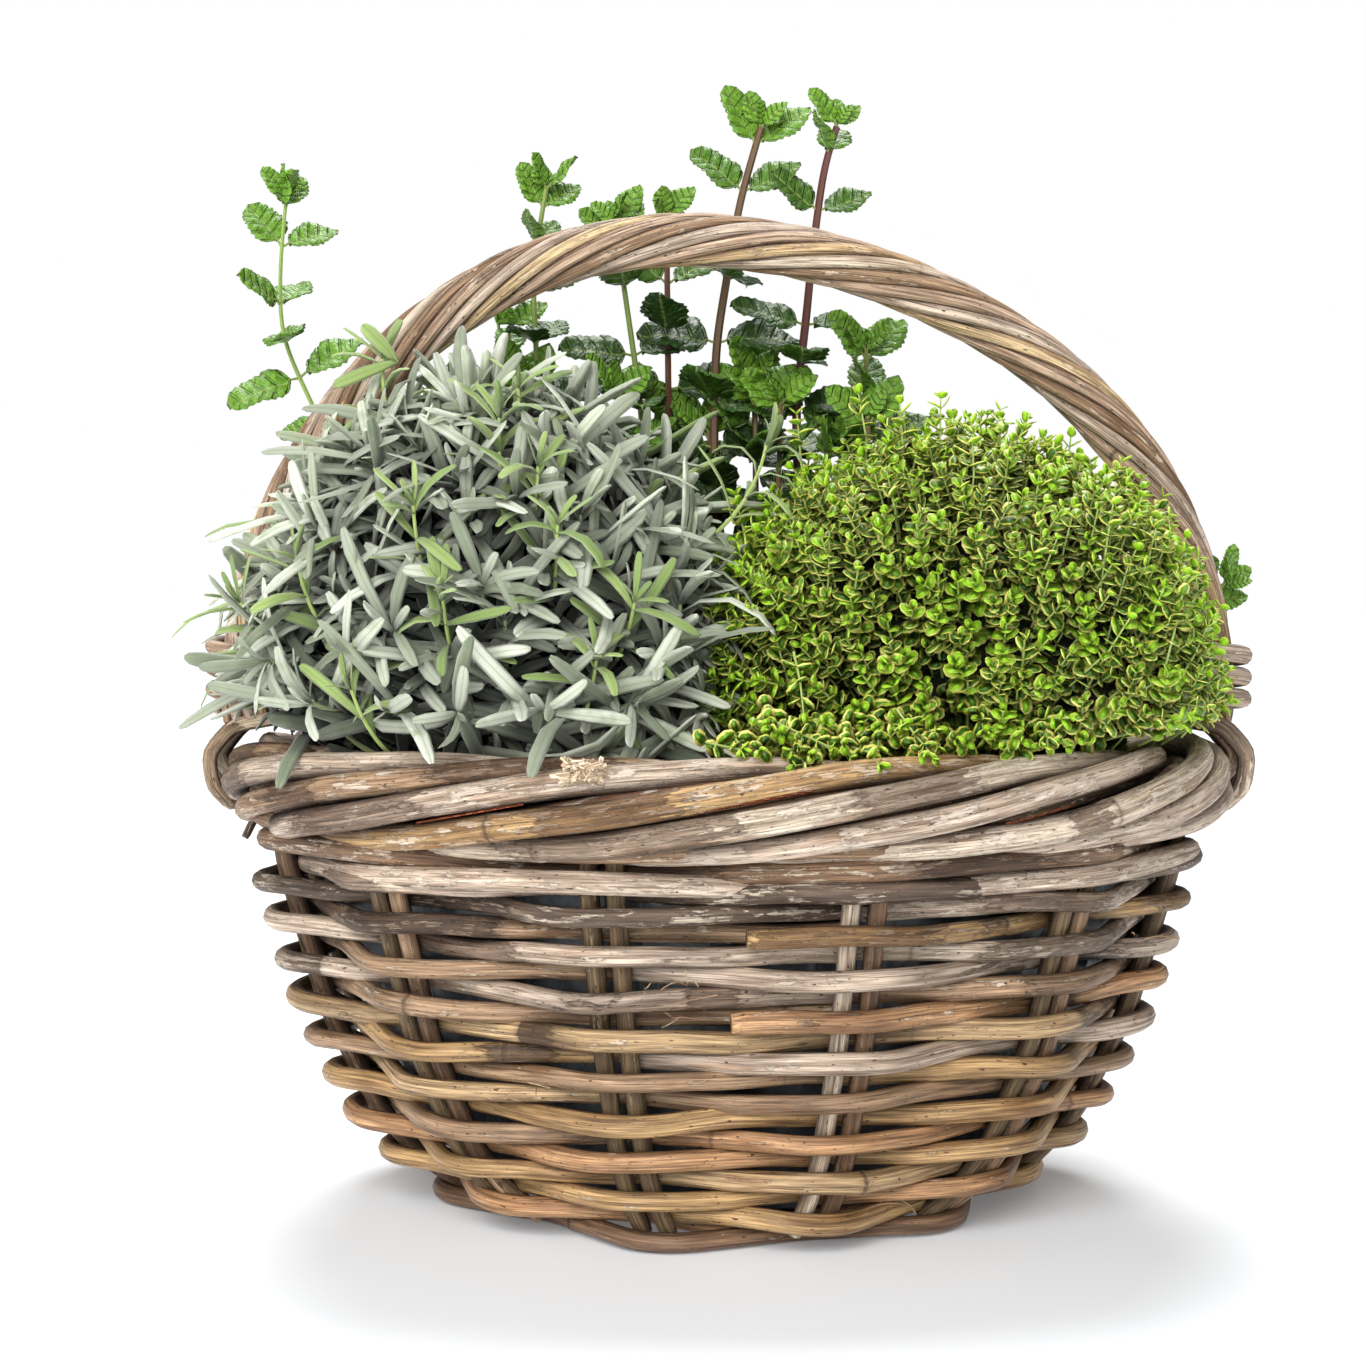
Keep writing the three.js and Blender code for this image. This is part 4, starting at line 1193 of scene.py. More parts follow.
# %% The base
BASE_HALF = (74, 87)
BASE_ROUNDS = 9
BASE_STICKS = 6
BASE_ROD = 3.1
BASE_STICK_RADIUS = 2.9
BASE_MIDDLE = 5.4
BASE_LIFT = 1.7
BASE_STEPS = BASE_STICKS * 16
BASE_TONES = ("tan", "brown", "orange")
base_rods = []
for round_number in range(BASE_ROUNDS):
    share = (round_number + 1.6) / (BASE_ROUNDS + 0.6)
    spots = []
    for step in range(BASE_STEPS + 1):
        turn = 2 * math.pi * step / BASE_STEPS
        lift = BASE_LIFT * math.cos(BASE_STICKS * turn + math.pi * round_number)
        x = BASE_HALF[0] * share * math.cos(turn)
        y = BASE_HALF[1] * share * math.sin(turn)
        spots.append((x, y, BASE_MIDDLE + lift))
    path = rounded(np.array(spots) * MM, CANE_STEP, 6 * MM)
    tone = BASE_TONES[round_number % len(BASE_TONES)]
    base_rods.append(make_cane(path, BASE_ROD * MM, tone, 0.2))
for stick in range(BASE_STICKS):
    turn = math.pi * stick / BASE_STICKS
    end = np.array([BASE_HALF[0] * math.cos(turn), BASE_HALF[1] * math.sin(turn), 0])
    middle = np.array([0, 0, BASE_MIDDLE])
    way = np.array([middle - end, middle + end]) * MM
    base_rods.append(make_cane(resample(way, CANE_STEP), BASE_STICK_RADIUS * MM, "olive", 0.2))
settle(cane_piece("base_rods", base_rods, row_finish, sides=8), "cane", "base")

# %% [markdown]
# ## Leaves
# A plant is hundreds of copies of one leaf, so the leaf is modelled once, as a small closed body
# with a length of 1, and then laid along every twig. Each point of it knows how far along the leaf
# it is and how far from the midrib. The copies are bent by their own amount, and the material draws
# midrib, margin and age from those values.


# %% The leaf maker
# Where the painted shade inside a mound begins, and how deep it goes before it is full.
MOUND_SURFACE = 0.98
MOUND_DEPTH = 0.28
LEAST_CURL = 1e-3


def leaf_body(name, section, stations):
    """A closed blade: section is its outline across, stations are (place along, half width)."""
    corners = len(section)
    pieces = len(stations) - 1
    deselect()
    bpy.ops.mesh.primitive_cylinder_add(
        vertices=corners, radius=1, depth=1, end_fill_type="NGON", location=(0, 0, 0.5)
    )
    blade = bpy.context.object
    blade.name = name
    bpy.ops.object.transform_apply(location=True, rotation=True, scale=True)
    bpy.ops.object.mode_set(mode="EDIT")
    bpy.ops.mesh.select_mode(type="FACE")
    bpy.ops.mesh.select_all(action="DESELECT")
    bpy.ops.object.mode_set(mode="OBJECT")
    for face in blade.data.polygons:
        face.select = face.center.z > 0.99
    bpy.ops.object.mode_set(mode="EDIT")
    for _ in range(pieces - 1):
        bpy.ops.mesh.extrude_region_move(TRANSFORM_OT_translate={"value": (0, 0, 1)})
    bpy.ops.mesh.select_all(action="SELECT")
    bpy.ops.mesh.quads_convert_to_tris()
    bpy.ops.object.mode_set(mode="OBJECT")
    points = get_points(blade)
    level = np.rint(points[:, 2]).astype(int)
    turn = np.arctan2(points[:, 1], points[:, 0]) - math.pi / 2
    corner = np.rint(turn / (2 * np.pi / corners)).astype(int) % corners
    along = np.array([stations[k][0] for k in level])
    width = np.array([stations[k][1] for k in level])
    across = np.array([section[k][0] for k in corner])
    lift = np.array([section[k][1] for k in corner])
    faces = np.array([face.vertices[:] for face in blade.data.polygons])
    bpy.data.objects.remove(blade)
    return {"along": along, "across": across, "width": width, "lift": lift, "faces": faces}


# %% Lay the leaves of a plant
def depth_in(points, mound):
    """0 for points on the surface of a mound, growing to 1 well inside it."""
    middle, reach = mound
    away = np.linalg.norm((points / MM - np.array(middle)) / np.array(reach), axis=-1)
    return np.clip((MOUND_SURFACE - away) / MOUND_DEPTH, 0, 1)


def lay_leaves(name, body, places, material, mound):
    """One mesh with a copy of the leaf body at each place of a mound (its middle and reach)."""
    origin = np.array([p["at"] for p in places])
    way = unit([p["way"] for p in places])
    face = np.array([p["face"] for p in places], float)
    face = unit(face - (face * way).sum(1, keepdims=True) * way)
    side = np.cross(face, way)
    length = np.array([p["length"] for p in places])[:, None]
    broad = np.array([p["broad"] for p in places])[:, None]
    curl = np.array([p["curl"] for p in places])[:, None]
    curl = np.where(np.abs(curl) < LEAST_CURL, LEAST_CURL, curl)
    turn = curl * body["along"][None, :]
    forward = length * np.sin(turn) / curl
    rise = -length * (1 - np.cos(turn)) / curl
    sweep = length * np.array([p.get("sweep", 0.0) for p in places])[:, None]
    spread = broad * body["width"][None, :] * body["across"][None, :]
    spread = spread + sweep * body["along"][None, :] ** 2
    thick = broad * body["width"][None, :] * body["lift"][None, :]
    forward = forward + thick * np.sin(turn)
    rise = rise + thick * np.cos(turn)
    points = (
        origin[:, None, :]
        + forward[..., None] * way[:, None, :]
        + spread[..., None] * side[:, None, :]
        + rise[..., None] * face[:, None, :]
    )
    count = len(body["along"])
    first = (np.arange(len(places)) * count)[:, None, None]
    faces = (body["faces"][None, :, :] + first).reshape(-1, 3)
    mesh = bpy.data.meshes.new(name)
    mesh.vertices.add(len(places) * count)
    mesh.vertices.foreach_set("co", points.astype(np.float32).ravel())
    mesh.loops.add(len(faces) * 3)
    mesh.loops.foreach_set("vertex_index", faces.astype(np.int32).ravel())
    mesh.polygons.add(len(faces))
    mesh.polygons.foreach_set("loop_start", np.arange(0, len(faces) * 3, 3, dtype=np.int32))
    mesh.update(calc_edges=True)
    mesh.shade_smooth()
    piece = bpy.data.objects.new(name, mesh)
    bpy.context.scene.collection.objects.link(piece)
    set_attribute(piece, "along", np.tile(body["along"], len(places)))
    set_attribute(piece, "across", np.tile(body["across"], len(places)))
    set_attribute(piece, "shade", np.repeat([p["shade"] for p in places], count))
    set_attribute(piece, "young", np.repeat([p["young"] for p in places], count))
    set_attribute(piece, "deep", depth_in(points, mound).ravel())
    paint(piece, material)
    return piece


# %% Painted shade deep inside a plant, and directions square to a twig
def painted_depth_shade(tree, colour, dark, share):
    """The colour, going over to a dark one as painted shade for what lies deep in the plant."""
    deep = times(tree, band(tree, read_attribute(tree, "deep"), 0.0, 1.0), share)
    return mix(tree, deep, colour, dark)


def square_to(way):
    """Two directions at right angles to a way and to each other."""
    way = unit(way)
    helper = np.array([0, 0, 1.0]) if abs(way[2]) < 0.9 else np.array([1.0, 0, 0])
    first = unit(np.cross(way, helper))
    return first, np.cross(way, first)


# %% Places on a leafy mound
GOLDEN_TURN = math.pi * (3 - math.sqrt(5))
RIM_INSIDE = (166, 128)
OVER_BORDER = 192
BORDER_TOP = 187
BORDER_FROM = 0.98


def mound_spots(middle, reach, count, lowest, stray=0.05):
    """Even places over an oval mound that stray a little, with the way out at each."""
    spots = []
    for index in range(count):
        height = 1 - (index + 0.5) / count * (1 - lowest)
        turn = index * GOLDEN_TURN
        flat = math.sqrt(max(0.0, 1 - height * height))
        ball = np.array([flat * math.cos(turn), flat * math.sin(turn), height])
        ball = unit(ball + random.normal(0, stray, 3))
        place = np.array(middle) + np.array(reach) * ball
        out = unit(ball / np.array(reach))
        spots.append((place, out, ball))
    return spots


def seen_on(middle, reach, px, py):
    """The place on the front of a mound that the photo shows at a pixel, in millimetres."""
    eye = np.array(CAMERA_PLACE) / MM
    ray = np.array([(px - CAMERA_MIDDLE) / CAMERA_FOCUS, 1, -(py - CAMERA_HORIZON) / CAMERA_FOCUS])
    start = (eye - np.array(middle)) / np.array(reach)
    step = ray / np.array(reach)
    a = step @ step
    b = start @ step
    c = start @ start - 1
    distance = (-b - math.sqrt(max(0.0, b * b - a * c))) / a
    place = eye + ray * distance
    ball = unit((place - np.array(middle)) / np.array(reach))
    return place, unit(ball / np.array(reach)), ball


def inside_rim(place, share):
    """The same place, or one drawn in where it would be over the border."""
    flat = math.hypot(place[0] / RIM_INSIDE[0], place[1] / RIM_INSIDE[1]) / share
    pull = 1 / flat if flat > 1 and place[2] < OVER_BORDER else 1
    return place * (pull, pull, 1)


def leaf_end(leaf):
    """Where the tip of a leaf comes to lie, in millimetres."""
    way = unit(leaf["way"])
    face = np.array(leaf["face"], float)
    face = unit(face - (face @ way) * way)
    curl = leaf["curl"] if abs(leaf["curl"]) > LEAST_CURL else LEAST_CURL
    reach = leaf["length"] * (math.sin(curl) * way - (1 - math.cos(curl)) * face) / curl
    return (leaf["at"] + reach) / MM


def in_border(spot):
    """True for a place in the border or outside the wall, below the border's top."""
    flat = math.hypot(spot[0] / RIM_INSIDE[0], spot[1] / RIM_INSIDE[1])
    return flat > BORDER_FROM and spot[2] < BORDER_TOP


def clear_of_border(leaf):
    """True where a leaf neither starts nor ends in the border or outside the wall."""
    return not in_border(leaf["at"] / MM) and not in_border(leaf_end(leaf))


# %% [markdown]
# ## The lavender
# English lavender has narrow grey leaves, mostly 30 to 60 mm long on this plant, felted on both
# sides, with the margins rolled down and a groove along the midrib. They stand in crossed pairs on
# each shoot and close up to a star at its tip. New shoots are yellow-green. Between the shoots the
# plant lies in deep shade, which is painted: each point also knows how deep in the mound it lies,
# and the leaves are painted darker the deeper they lie.

# %% A lavender leaf
LAVENDER_SECTION = ((1.0, -0.2), (0.5, 0.16), (0.0, -0.06), (-0.5, 0.16), (-1.0, -0.2))
LAVENDER_STATIONS = ((0, 0.36), (0.22, 0.70), (0.50, 0.98), (0.79, 1.0), (0.95, 0.72), (1.0, 0.34))
lavender_leaf = leaf_body("lavender_leaf", LAVENDER_SECTION, LAVENDER_STATIONS)
print("lavender leaf:", len(lavender_leaf["faces"]), "triangles")

# %% Lavender shoots
LAVENDER_MIDDLE = (-92, -44, 212)
LAVENDER_REACH = (104, 84, 118)
LAVENDER_MOUND = (LAVENDER_MIDDLE, LAVENDER_REACH)
LAVENDER_SHOOTS = 215
LOOSE_LEAVES = 440
LAVENDER_LOWEST = -0.58
LEAF_PAIRS = 4
TIP_LEAVES = 4
LEAF_WIDTH = 3.05
LEAF_SWEEP = 0.15


def leaf_at(places, spot, way, out, opening, length, broad, curl, young):
    """A leaf that leaves its twig at that opening, its upper face towards the twig's tip."""
    places.append({
        "at": spot * MM,
        "way": math.cos(opening) * way + math.sin(opening) * out,
        "face": way * math.sin(opening) - out * math.cos(opening) + random.normal(0, 0.3, 3),
        "length": length * MM,
        "broad": broad * MM,
        "curl": curl,
        "sweep": random.normal(0, LEAF_SWEEP),
        "shade": random.uniform(0, 1),
        "young": young,
    })


def leaf_between(places, base, tip, broad, curl, young, top=(0, -0.3, 1)):
    """A leaf that starts at base, arches over towards top and ends at tip."""
    chord = unit(tip - base)
    up = unit(np.array(top) - chord * (np.array(top) @ chord))
    way = math.cos(curl / 2) * chord + math.sin(curl / 2) * up
    length = np.linalg.norm(tip - base) * (curl / 2) / math.sin(curl / 2)
    leaf_at(places, base, way, np.zeros(3), 0.0, length, broad, curl, young)
    places[-1]["face"] = math.cos(curl / 2) * up - math.sin(curl / 2) * chord
    places[-1]["sweep"] = 0.0


def lavender_shoot(places, stems, root, tip, young, size=1.0):
    """Crossed pairs of leaves along a twig, and a tuft of shorter ones at its tip."""
    way = unit(tip - root)
    length = np.linalg.norm(tip - root)
    first, second = square_to(way)
    start = random.uniform(0, 2 * math.pi)
    bow = unit(np.array([0, 0, 1.0]) - way * way[2]) * length * 0.10
    stem = []
    for share in np.linspace(0, 1, 7):
        stem.append(root + way * length * share - bow * 4 * share * (1 - share))
    stems.append((np.array(stem) * MM, (1.25 if young < 0.5 else 1.0) * MM, young))
    for pair in range(LEAF_PAIRS):
        share = 0.34 + 0.60 * pair / (LEAF_PAIRS - 1)
        spot = root + way * length * share - bow * 4 * share * (1 - share)
        opening = math.radians(random.uniform(40, 68) - 18 * share)
        for twin in (0, math.pi):
            turn = start + pair * math.pi / 2 + twin + random.normal(0, 0.25)
            out = math.cos(turn) * first + math.sin(turn) * second
            long = size * random.uniform(40, 62) * (1.10 - 0.34 * share)
            broad = size * LEAF_WIDTH * random.uniform(0.8, 1.08) * (1.3 if young > 0.9 else 1.0)
            leaf_at(places, spot, way, out, opening, long, broad, random.normal(1.1, 0.6), young)
    for leaf in range(TIP_LEAVES):
        turn = start + leaf * GOLDEN_TURN
        opening = math.radians(8 + 7 * leaf)
        out = math.cos(turn) * first + math.sin(turn) * second
        long = size * (17 + 4.5 * leaf)
        broad = size * LEAF_WIDTH * (0.60 + 0.08 * leaf)
        curl = random.normal(0.6, 0.4)
        leaf_at(places, tip, way, out, opening, long, broad, curl, min(1.0, young + 0.2))


# %% Lavender leaves that the photo shows
YOUNG_SHOOTS_SEEN = (
    (380, 350), (500, 410), (540, 460), (560, 520), (290, 560), (440, 590), (600, 660), (775, 440),
    (410, 500), (345, 690), (520, 380), (640, 600), (230, 600),
)
RIM_SHOOTS_SEEN = ((300, 705), (380, 712), (455, 715), (545, 712), (640, 705), (255, 660))
RIM_LEAVES_SEEN = (((329, 735), (277, 788)), ((390, 728), (431, 763)), ((567, 720), (530, 777)))
HANDLE_LEAF_BASE = (399, 362)
HANDLE_LEAVES_SEEN = ((364, 326), (335, 386))
HANDLE_LEAF_TOP = (0, -1, 0.4)
ARCHED_LEAVES = (
    ((-168, -50, 232), (-0.9, -0.2, 0.55), 52, 1.5),
    ((-166, -48, 214), (-0.95, -0.15, 0.35), 50, 1.7),
    ((-160, -46, 262), (-0.85, -0.2, 0.6), 44, 1.2),
    ((-158, -52, 200), (-0.95, -0.3, 0.1), 40, 0.6),
)
print("young shoots where the photo shows them:", len(YOUNG_SHOOTS_SEEN))

# %% Make the lavender
leaves = []
twigs = []
for place, out, ball in mound_spots(*LAVENDER_MOUND, LAVENDER_SHOOTS, LAVENDER_LOWEST):
    way = unit(out + np.array([0, 0, 0.35]) + random.normal(0, 0.30, 3))
    tip = place - out * random.uniform(14, 36)
    young = 0.8 if random.uniform() < 0.03 else float(random.uniform(0, 0.3))
    tip = inside_rim(tip, 0.93)
    lavender_shoot(leaves, twigs, tip - way * random.uniform(40, 56), tip, young)
for place, out, ball in mound_spots(*LAVENDER_MOUND, LOOSE_LEAVES, LAVENDER_LOWEST):
    first, second = square_to(out)
    turn = random.uniform(0, 2 * math.pi)
    aside = math.cos(turn) * first + math.sin(turn) * second
    way = unit(aside + out * random.uniform(0.2, 0.75))
    long = random.uniform(42, 64)
    root = place - out * random.uniform(20, 30) - aside * 14
    broad = LEAF_WIDTH * random.uniform(0.8, 1.05)
    curl = random.normal(1.15, 0.5)
    leaf_at(leaves, root, way, -out, 0.0, long, broad, curl, float(random.uniform(0, 0.3)))
for px, py in YOUNG_SHOOTS_SEEN:
    place, out, ball = seen_on(*LAVENDER_MOUND, px, py)
    way = unit(out + np.array([0, 0, 0.9]) + random.normal(0, 0.1, 3))
    tip = place - out * 4
    lavender_shoot(leaves, twigs, tip - way * 46, tip, 1.0, 0.62)
for px, py in RIM_SHOOTS_SEEN:
    place, out, ball = seen_on(*LAVENDER_MOUND, px, py)
    way = unit(out + np.array([0, -0.2, -0.05]) + random.normal(0, 0.1, 3))
    tip = place - out * 6
    lavender_shoot(leaves, twigs, tip - way * 42, tip, 0.1)
leaves = [leaf for leaf in leaves if clear_of_border(leaf)]
for base_seen, tip_seen in RIM_LEAVES_SEEN:
    leaf_between(leaves, front_at(*base_seen, -16), front_at(*tip_seen, 26), LEAF_WIDTH, 1.3, 0.15)
for tip_seen in HANDLE_LEAVES_SEEN:
    base = seen_at_depth(*HANDLE_LEAF_BASE, -52)
    tip = seen_at_depth(*tip_seen, -60)
    leaf_between(leaves, base, tip, LEAF_WIDTH * 0.95, 0.5, 0.9, HANDLE_LEAF_TOP)
for spot, way, length, curl in ARCHED_LEAVES:
    leaf_at(leaves, np.array(spot, float), unit(way), np.zeros(3), 0.0, length, 2.2, curl, 0.8)
    leaves[-1]["face"] = (0.3, -0.2, 1)
print("lavender leaves:", len(leaves), "on", len(twigs), "shoots")

# %% The felted finish of the lavender
felt, tree, shader = new_material("lavender_felt", 0.82, 0.2)
along = read_attribute(tree, "along")
across = math_node(tree, "ABSOLUTE", read_attribute(tree, "across"))
shade = read_attribute(tree, "shade")
young = read_attribute(tree, "young")
place = object_coordinates(tree)
hairs = noise(tree, place, 2600, detail=2.0)
cloud = noise(tree, place, 90, detail=2.0)
silver = mix(tree, shade, linear(112, 122, 98), linear(214, 218, 200))
silver = mix(tree, band(tree, cloud, 0.45, 0.8), silver, linear(150, 158, 130))
green = mix(tree, shade, linear(118, 142, 76), linear(156, 178, 104))
colour = mix(tree, band(tree, young, 0.3, 0.9), silver, green)
at_margin = times(tree, band(tree, across, 0.75, 1.0), 0.45)
colour = mix(tree, at_margin, colour, linear(214, 218, 200))
at_midrib = times(tree, band(tree, across, 0.16, 0.0), 0.4)
colour = mix(tree, at_midrib, colour, linear(98, 110, 78))
at_foot = times(tree, band(tree, along, 0.22, 0.0), 0.45)
colour = mix(tree, at_foot, colour, linear(120, 140, 78))
uneven = mix(tree, hairs, (0.86, 0.86, 0.86, 1), (1.12, 1.12, 1.12, 1))
colour = mix(tree, 1.0, colour, uneven, "MULTIPLY")
# Painted shade: lavender leaves deep inside the mound go over to near black.
colour = painted_depth_shade(tree, colour, linear(16, 22, 8), 0.97)
tree.links.new(colour, shader.inputs["Base Color"])
bump(tree, shader, hairs, 0.15 * MM, 0.5)
half = len(leaves) // 2
for name, part in (("high", leaves[:half]), ("low", leaves[half:])):
    piece = lay_leaves(f"lavender_leaves_{name}", lavender_leaf, part, felt, LAVENDER_MOUND)
    settle(piece, "lavender", "lavender")


# %% Stems
def stem_piece(name, stems, material, sides=6):
    """Thin round stems as one mesh. Each is (path, radius at the root, age)."""
    canes = []
    for path, radius, young in stems:
        girth = radius * np.linspace(1, 0.62, len(path))
        canes.append({
            "path": path,
            "girth": girth,
            "knot": np.zeros(len(path)),
            "past_knot": np.ones(len(path)),
            "bark": np.zeros(len(path)),
            "tone": np.array([0.5, 0.5, 0.5]),
            "weather": young,
            "away": from_axis(path),
        })
    return cane_piece(name, canes, material, sides)


def stem_material(name, old, new, roughness=0.6):
    """Stems from an old colour to a new one, with fine fibres."""
    material, tree, shader = new_material(name, roughness)
    grain = read_attribute(tree, "grain", "Vector")
    fibre = noise(tree, grain, 1.0, (200, 1800, 1800), 3.0)
    colour = mix(tree, read_attribute(tree, "weather"), old, new)
    uneven = mix(tree, fibre, (0.7, 0.7, 0.7, 1), (1.25, 1.25, 1.25, 1))
    colour = mix(tree, 1.0, colour, uneven, "MULTIPLY")
    tree.links.new(colour, shader.inputs["Base Color"])
    bump(tree, shader, fibre, 0.2 * MM, 0.5)
    return material


lavender_stem = stem_material("lavender_stem", linear(150, 160, 122), linear(170, 190, 112), 0.75)
settle(stem_piece("lavender_twigs", twigs, lavender_stem), "lavender")


# %% The dark heart of a bush, a body of painted shade
LUMP = 0.018
HEART_FOOT = SOIL_TOP - 6
HEART_NARROW_UNDER = 190
HEART_INSET = 8


def heart(name, middle, reach, share, material):
    """A lumpy dark body of painted shade inside a bush, so that the gaps between its shoots read as
    depth.
    """
    deselect()
    bpy.ops.mesh.primitive_ico_sphere_add(subdivisions=4, radius=1)
    piece = bpy.context.object
    piece.name = name
    points = get_points(piece)
    lumps = np.sin(points * (9, 8, 10) + (1, 2, 0)).sum(1)
    lumps += 0.7 * np.sin(points * (23, 27, 25) + (0, 1, 0)).sum(1)
    points = points * (share + LUMP * lumps)[:, None] * np.array(reach) + np.array(middle)
    points[:, 2] = np.maximum(points[:, 2], HEART_FOOT)
    half_width, half_depth = np.array(SOIL_HALF) - HEART_INSET
    low = points[:, 2] < HEART_NARROW_UNDER
    flat = np.hypot(points[:, 0] / half_width, points[:, 1] / half_depth)
    pull = np.where(low & (flat > 1), 1 / flat, 1)
    points[:, 0] *= pull
    points[:, 1] *= pull
    set_points(piece, points * MM)
    choose(piece)
    bpy.ops.object.shade_smooth_by_angle(angle=SOFT_SMOOTH_UNDER)
    paint(piece, material)
    return piece


# The heart's near-black material is painted shade.
shadow_leaf, tree, shader = new_material("inner_shade", 0.95)
place = object_coordinates(tree)
depth = noise(tree, place, 150, detail=5.0)
colour = mix(tree, depth, linear(6, 9, 3), linear(28, 38, 14))
tree.links.new(colour, shader.inputs["Base Color"])
bump(tree, shader, depth, 4.0 * MM, 1.0)
settle(heart("lavender_heart", *LAVENDER_MOUND, 0.56, shadow_leaf), "lavender")

# %% [markdown]
# ## The thyme
# Variegated thyme has leaves only 6 mm long, green in the middle with a cream margin, in close
# crossed pairs on thin stems, with a lime rosette at each tip. More than a thousand sprigs make its
# mound. A band of them leans out over the border, where the photo shows their lower edge.

# %% A thyme leaf
THYME_SECTION = ((1.0, 0.04), (-1.0, 0.04), (0.0, -0.22))
THYME_STATIONS = ((0, 0.36), (0.28, 0.96), (0.72, 0.94), (1.0, 0.34))
thyme_leaf = leaf_body("thyme_leaf", THYME_SECTION, THYME_STATIONS)
print("thyme leaf:", len(thyme_leaf["faces"]), "triangles")

# %% Thyme sprigs
THYME_MIDDLE = (89, -42, 206)
THYME_REACH = (105, 86, 104)
THYME_MOUND = (THYME_MIDDLE, THYME_REACH)
THYME_LOWEST = -0.5
THYME_STRAY = 0.025
THYME_STEM_RADIUS = 0.55 * MM
THYME_SPRIGS = 1300
THYME_PAIRS = 6
DEEP_PAIRS = 4
THYME_OVER_RIM = 0.95
RIM_SPRIGS = 52
RIM_SPRIG_WAY = (0, -0.9, -0.1)
RIM_EDGE_SEEN = ((742, 870, 950, 1080), (776, 776, 766, 744))
RIM_BAND = 64
THYME_LEAFY = 18
THYME_CLUMP = 1.1
THYME_CLUMPS = np.array((11.0, 12.0, 10.0))


def thyme_sprig(places, stems, root, tip, lime, size=1.0, pairs=THYME_PAIRS):
    """Crossed pairs of tiny leaves up a thin stem, smaller and brighter towards the tip."""
    way = unit(tip - root)
    first, second = square_to(way)
    start = random.uniform(0, 2 * math.pi)
    stem = [root, (root + tip) / 2 + random.normal(0, 0.8, 3), tip]
    stems.append((np.array(stem) * MM, THYME_STEM_RADIUS, lime))
    for pair in range(pairs):
        share = pair / (pairs - 1)
        spot = tip - way * THYME_LEAFY * size * (1 - share)
        opening = math.radians(80 - 42 * share + random.normal(0, 8))
        grown = 1.0 - 0.42 * share ** 3
        for twin in (0, math.pi):
            turn = start + pair * math.pi / 2 + twin + random.normal(0, 0.2)
            out = math.cos(turn) * first + math.sin(turn) * second
            places.append({
                "at": spot * MM,
                "way": math.cos(opening) * way + math.sin(opening) * out,
                "face": way * math.sin(opening) - out * math.cos(opening) + random.normal(0, 0.15, 3),
                "length": size * grown * random.uniform(5.4, 7.4) * MM,
                "broad": size * grown * random.uniform(2.2, 2.9) * MM,
                "curl": random.normal(0.3, 0.35),
                "shade": random.uniform(0, 1),
                "young": float(np.clip(lime + 0.55 * share ** 3 + random.normal(0, 0.08), 0, 1)),
            })


# %% Make the thyme
THYME_TOPS_SEEN = (
    (800, 440), (860, 420), (900, 430), (940, 425),
    (970, 450), (1110, 520), (1180, 600), (740, 520),
)
leaves = []
twigs = []
spots = mound_spots(*THYME_MOUND, THYME_SPRIGS, THYME_LOWEST, THYME_STRAY)
for number, (place, out, ball) in enumerate(spots):
    way = unit(out + np.array([0, 0, 0.55]) + random.normal(0, 0.28, 3))
    deep = number % 3 == 0
    clump = THYME_CLUMP * np.sin(THYME_CLUMPS * ball + (0.5, 1.4, 2.2)).sum()
    tip = place + out * (clump - (random.uniform(8, 17) if deep else random.uniform(-1, 7)))
    tip = inside_rim(tip, THYME_OVER_RIM)
    lime = 0.0 if deep else float(np.clip(random.normal(0.28, 0.28), 0, 0.9))
    if in_border(tip - way * THYME_LEAFY):
        continue
    pairs = DEEP_PAIRS if deep else THYME_PAIRS
    root = tip - way * random.uniform(26, 34)
    thyme_sprig(leaves, twigs, root, tip, lime, random.uniform(0.9, 1.16), pairs)
for px, py in THYME_TOPS_SEEN:
    place, out, ball = seen_on(*THYME_MOUND, px, py)
    way = unit(out * 0.3 + np.array([0, 0, 1]))
    thyme_sprig(leaves, twigs, place - way * 26, place + way * 10, 0.3, 1.1)
leaves = [leaf for leaf in leaves if clear_of_border(leaf)]
for px in np.linspace(RIM_EDGE_SEEN[0][0], RIM_EDGE_SEEN[0][-1], RIM_SPRIGS):
    above = random.uniform(0, 1)
    py = np.interp(px, *RIM_EDGE_SEEN) - RIM_BAND * above
    tip = front_at(px + random.normal(0, 5), py, 12 - 26 * above + random.uniform(-3, 3))
    way = unit(np.array(RIM_SPRIG_WAY) + (0, 0, 0.5 * above - 0.2) + random.normal(0, 0.3, 3))
    lime = random.uniform(0, 0.5)
    thyme_sprig(leaves, twigs, tip - way * 24, tip, lime, random.uniform(0.9, 1.12), DEEP_PAIRS)
print("thyme leaves:", len(leaves), "on", len(twigs), "sprigs")

# %% The finish of the thyme
soft_green, tree, shader = new_material("thyme_leaf", 0.42)
along = read_attribute(tree, "along")
across = math_node(tree, "ABSOLUTE", read_attribute(tree, "across"))
shade = read_attribute(tree, "shade")
young = read_attribute(tree, "young")
place = object_coordinates(tree)
blot = noise(tree, place, 900, detail=2.0)
middle = mix(tree, shade, linear(46, 86, 16), linear(98, 150, 26))
middle = mix(tree, band(tree, young, 0.25, 0.75), middle, linear(150, 208, 34))
margin = mix(tree, shade, linear(206, 208, 76), linear(248, 238, 136))
margin = mix(tree, band(tree, young, 0.4, 1.0), margin, linear(190, 220, 60))
wide = math_node(tree, "MULTIPLY_ADD", blot, 0.5, across)
wide = math_node(tree, "MULTIPLY_ADD", shade, 0.18, wide)
colour = mix(tree, band(tree, wide, 0.88, 1.02), middle, margin)
tip_edge = math_node(tree, "MULTIPLY_ADD", blot, 0.2, along)
colour = mix(tree, band(tree, tip_edge, 0.98, 1.08), colour, margin)
